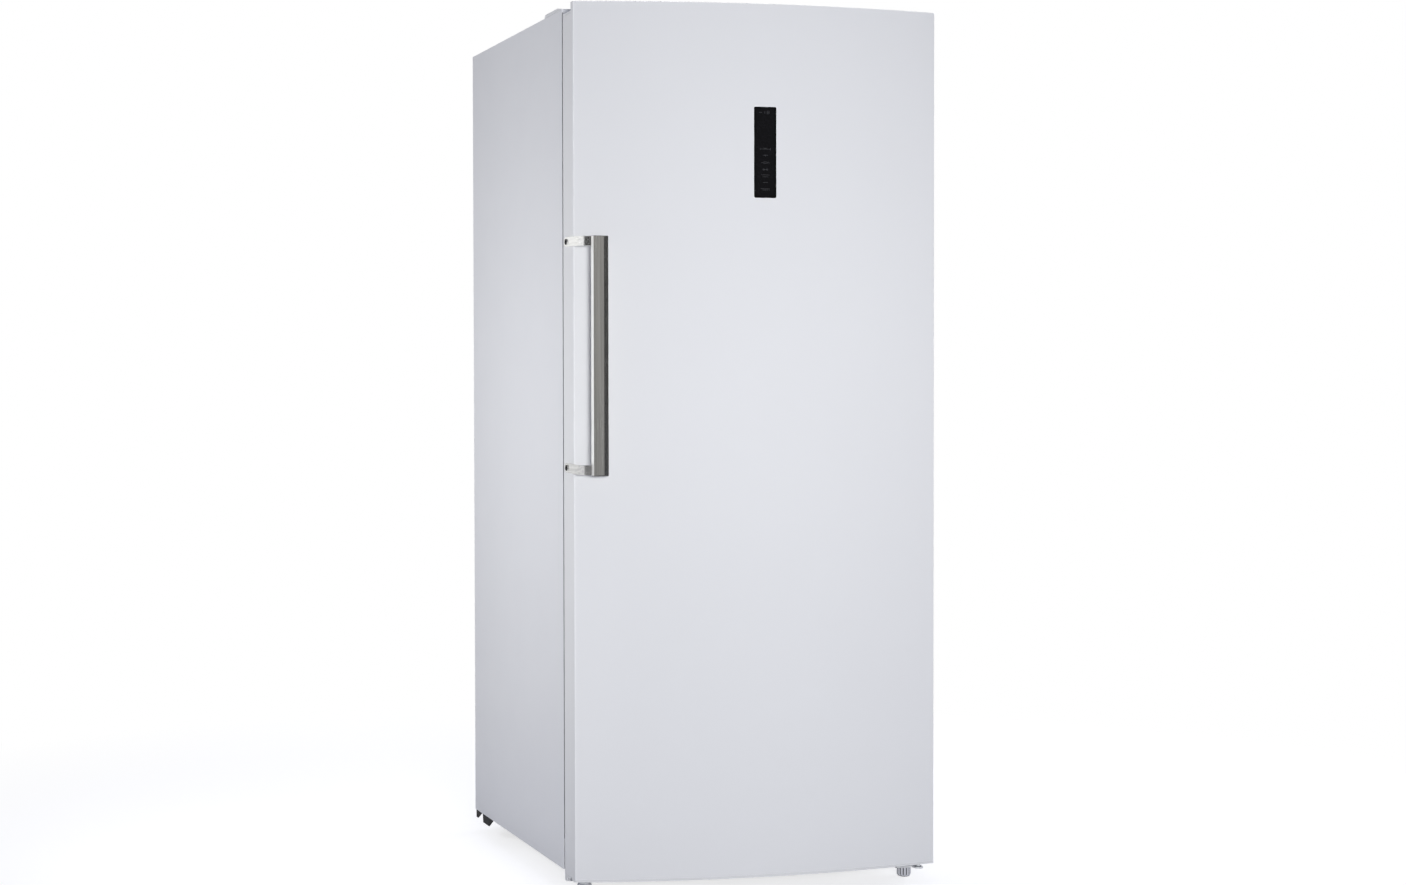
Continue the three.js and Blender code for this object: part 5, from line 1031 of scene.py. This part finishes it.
def make_back_sheet():
    """The stamped rear sheet: long beads, a hem, pan-head screws and two filler caps."""
    form = bmesh.new()
    add_slab(form, "Y", box_outline(-354.4, 354.4, 255.4, 1632.9, 1.0, 2), 705.7, BACK_FACE)
    for x in (-252.0, -126.0, 0.0, 126.0, 252.0):
        bead = box_outline(x - 11, x + 11, 330.0, 1560.0, 10.9, 10)
        add_slab(form, "Y", bead, 705.6, 707.6, ease=0.95)
    for z in (262.0, 1625.0):
        hem = box_outline(-350.0, 350.0, z - 4, z + 4, 3.0, 4)
        add_slab(form, "Y", hem, 706.0, 707.0, ease=0.4)
    make_piece("rear_sheet", "cabinet", "zinc", form, stands_for=("back_panel",))
    form = bmesh.new()
    places = [(x, z) for x in (-346.0, 346.0) for z in range(300, 1620, 216)]
    places += [(x, z) for x in (-190.0, 0.0, 190.0) for z in (275.0, 1612.0)]
    for x, z in places:
        add_turned(form, (x, BACK_FACE, z), (0, 1, 0), PAN_HEAD, 24, sides=4)
    make_piece("rear_screws", "cabinet", "zinc", form, look="aluminium")
    form = bmesh.new()
    for x, z in ((-190.0, 640.0), (190.0, 1240.0)):
        add_turned(form, (x, BACK_FACE, z), (0, 1, 0), FILLER_CAP, 40)
    make_piece("filler_caps", "cabinet", "white_plastic", form)


def make_compressor_details():
    """The weld seam round the compressor's shell, its filling tube and the gland's ribs."""
    form = bmesh.new()
    seam = []
    for i in range(48):
        angle = 2 * math.pi * i / 48
        x = SEAM_CENTRE[0] + SEAM_RADII[0] * math.cos(angle)
        seam.append((x, SEAM_CENTRE[1] + SEAM_RADII[1] * math.sin(angle), SEAM_LEVEL))
    add_swept(form, seam, round_section(2.4), (0, 0, 1), loop=True)
    make_piece("compressor_seam", "cabinet", "black_steel", form)
    form = bmesh.new()
    tube = [(70.0, 560.0, 190.0 - 4 * i) for i in range(3)]
    tube += [(70.0 - 14 * math.sin(a), 560.0, 168.0 + 14 * math.cos(a)) for a in (0.5, 1.0, 1.5)]
    add_swept(form, tube, round_section(2.5, 10), (0, 1, 0))
    make_piece("filling_tube", "cabinet", "copper", form)
    form = bmesh.new()
    for y in (694.0, 697.5, 701.0, 704.5):
        add_turned(form, (-290.0, y, 90.0), (0, 1, 0), GLAND_RIB, 32)
    make_piece("gland_ribs", "cabinet", "black_plastic", form)


def make_pieces():
    """Every fine piece, from the handle to the back."""
    make_handle_bar()
    make_straps()
    make_handle_screws()
    make_display_marks()
    make_gasket()
    make_door_strip()
    make_bin_rims()
    make_liner_ledges()
    make_vent_frames()
    make_shelf_strips()
    make_drawer_details()
    make_foot(1, "right")
    make_foot(-1, "left")
    make_bracket_bolts()
    make_left_bracket()
    make_back_sheet()
    make_compressor_details()


# ----------------------------------------------------------------------
# Studio
# ----------------------------------------------------------------------
AMBIENT = (0.106, 0.113, 0.162)
WHITE = (1.0, 1.0, 1.0)
LAMP_WHITE = (1.0, 1.0, 0.985)
# What glossy surfaces mirror in front of the object, as a ramp: how far the mirrored ray points to
# the right (-1 to 1) and the grey it meets there. The dark part stands for black cards.
FRONT_OF_ROOM = (
    (-1.0, 1.0),
    (-0.54, 1.0),
    (-0.46, 0.02),
    (-0.02, 0.02),
    (0.12, 0.46),
    (0.55, 0.46),
    (0.68, 0.25),
)
COOL = 1.02  # blue against the grey of what is mirrored
BACK_OF_ROOM = (-0.02, 0.3)  # how far a ray points to the back where the room turns white
RIGHT_OF_ROOM = (0.6, 0.75)  # how far it points to the right where the room turns darker
RIGHT_SHADE = 0.35
FLOOR_RADIUS = 9.0
FLOOR_TONES = ((0.47, 0.48, 0.515), (0.49, 0.50, 0.535))
FLOOR_FADE = (1.0, 2.2)  # metres from the middle, where the floor turns plain white
FLOOR_LEFT = (-0.5, -0.3)  # where what metal mirrors of the floor stops being lifted
SEEN_LIFT = 0.72  # light added to the floor for the eye
MIRRORED_LIFT = 0.62  # and for what mirrors its left part
MIDDLE = (0.0, 0.0, 0.95)


def area_lamp(name, place, aim, size, watts, colour=WHITE, spread=180.0):
    """A soft rectangular lamp that neither the camera nor a reflection shows."""
    data = bpy.data.lights.new(name, "AREA")
    data.shape = "RECTANGLE"
    data.size, data.size_y = size
    data.energy = watts
    data.color = colour
    data.spread = math.radians(spread)
    lamp = bpy.data.objects.new(name, data)
    lamp.location = place
    lamp.rotation_euler = (Vector(aim) - Vector(place)).to_track_quat("-Z", "Y").to_euler()
    lamp.visible_camera = False
    lamp.visible_glossy = False
    SCENE.collection.objects.link(lamp)


def add_seen(tree):
    """1 for what the camera sees, directly or through clear pieces."""
    path = add_node(tree, "LightPath").outputs
    return add_math(tree, "MAXIMUM", path["Is Camera Ray"], path["Is Transmission Ray"])


def make_world():
    """White behind the object, the room's front in its gloss, and soft grey light elsewhere."""
    world = bpy.data.worlds.new("studio")
    world.use_nodes = True
    tree = world.node_tree
    tree.nodes.clear()
    glossy = add_node(tree, "LightPath").outputs["Is Glossy Ray"]
    direction = add_node(tree, "TexCoord").outputs["Generated"]
    axes = add_node(tree, "SeparateXYZ", {"Vector": direction}).outputs
    ramp = add_node(tree, "ValToRGB", {"Fac": add_range(tree, axes["X"], 0.0, 1.0, -1.0, 1.0)})
    stops = ramp.color_ramp.elements
    while len(stops) < len(FRONT_OF_ROOM):
        stops.new(1.0)
    for stop, (rightward, grey) in zip(stops, FRONT_OF_ROOM):
        stop.position = (rightward + 1) / 2
        stop.color = (grey, grey, grey * COOL, 1.0)
    behind = add_range(tree, axes["Y"], 0.0, 1.0, *BACK_OF_ROOM)
    room = add_blend(tree, behind, ramp.outputs["Color"], WHITE)
    shade = add_range(tree, axes["X"], 1.0, RIGHT_SHADE, *RIGHT_OF_ROOM)
    shaded = add_node(tree, "VectorMath", {0: room, "Scale": shade}, operation="SCALE")
    lit = add_blend(tree, glossy, AMBIENT, shaded.outputs["Vector"])
    colour = add_blend(tree, add_seen(tree), lit, WHITE)
    background = add_node(tree, "Background", {"Color": colour, "Strength": 1.0})
    add_node(tree, "OutputWorld", {"Surface": background.outputs["Background"]})
    SCENE.world = world


def floor_material():
    """A pale matt floor, lifted to white for the eye and, at the left, for what mirrors it."""
    material = bpy.data.materials.new("floor")
    material.use_nodes = True
    tree = material.node_tree
    tree.nodes.clear()
    glossy = add_node(tree, "LightPath").outputs["Is Glossy Ray"]
    place = add_node(tree, "TexCoord").outputs["Object"]
    across = add_node(tree, "SeparateXYZ", {"Vector": place}).outputs["X"]
    leftward = add_range(tree, across, 1.0, 0.0, *FLOOR_LEFT)
    seen = add_seen(tree)
    aside = add_math(tree, "MULTIPLY", glossy, leftward)
    grain = add_blend(tree, add_noise(tree, 3.0), *FLOOR_TONES)
    plain = add_node(tree, "BsdfDiffuse", {"Color": grain}).outputs["BSDF"]
    seen_lift = add_math(tree, "MULTIPLY", seen, SEEN_LIFT)
    aside_lift = add_math(tree, "MULTIPLY", aside, MIRRORED_LIFT)
    lift = add_math(tree, "ADD", seen_lift, aside_lift)
    glow = add_node(tree, "Emission", {"Strength": lift}).outputs["Emission"]
    near = add_node(tree, "AddShader", {0: plain, 1: glow}).outputs["Shader"]
    far = add_node(tree, "Emission", {"Strength": 1.0}).outputs["Emission"]
    reach = add_node(tree, "VectorMath", {0: place}, operation="LENGTH").outputs["Value"]
    distant = add_range(tree, reach, 0.0, 1.0, *FLOOR_FADE)
    fade = add_math(tree, "MULTIPLY", distant, add_math(tree, "MAXIMUM", seen, aside))
    mix = add_node(tree, "MixShader", {0: fade, 1: near, 2: far}).outputs["Shader"]
    add_node(tree, "OutputMaterial", {"Surface": mix})
    return material


def make_floor():
    """The floor under the object, where the object's own soft shadow falls."""
    mesh = bpy.data.meshes.new("floor")
    form = bmesh.new()
    bmesh.ops.create_circle(form, cap_ends=True, segments=96, radius=FLOOR_RADIUS)
    form.to_mesh(mesh)
    form.free()
    mesh.materials.append(floor_material())
    floor = bpy.data.objects.new("floor", mesh)
    SCENE.collection.objects.link(floor)


def make_studio():
    """The room, and lamps in front, close at the left, and from the right, above and behind."""
    make_world()
    make_floor()
    left_aim = (0.0, -0.05, 0.9)
    front_aim = (0.75, 0.0, 1.05)
    area_lamp("front_lamp", (-1.0, -4.75, 1.08), front_aim, (1.3, 0.6), 35.8, LAMP_WHITE, 80.0)
    area_lamp("left_lamp", (-1.5, -0.05, 0.92), left_aim, (0.5, 0.3), 7.9, LAMP_WHITE)
    area_lamp("right_lamp", (3.0, 0.4, 1.3), MIDDLE, (1.6, 1.6), 38.0)
    area_lamp("top_lamp", (0.1, 0.3, 4.2), (0.1, 0.1, 0.0), (2.0, 2.0), 26.0)
    area_lamp("rear_lamp", (0.4, 3.6, 1.2), MIDDLE, (1.8, 1.6), 24.0)


make_camera()
make_materials()
for name in NODES:
    finish_solid(name)
make_pieces()
make_studio()
SCENE.view_settings.view_transform = "Standard"

bpy.context.view_layer.update()
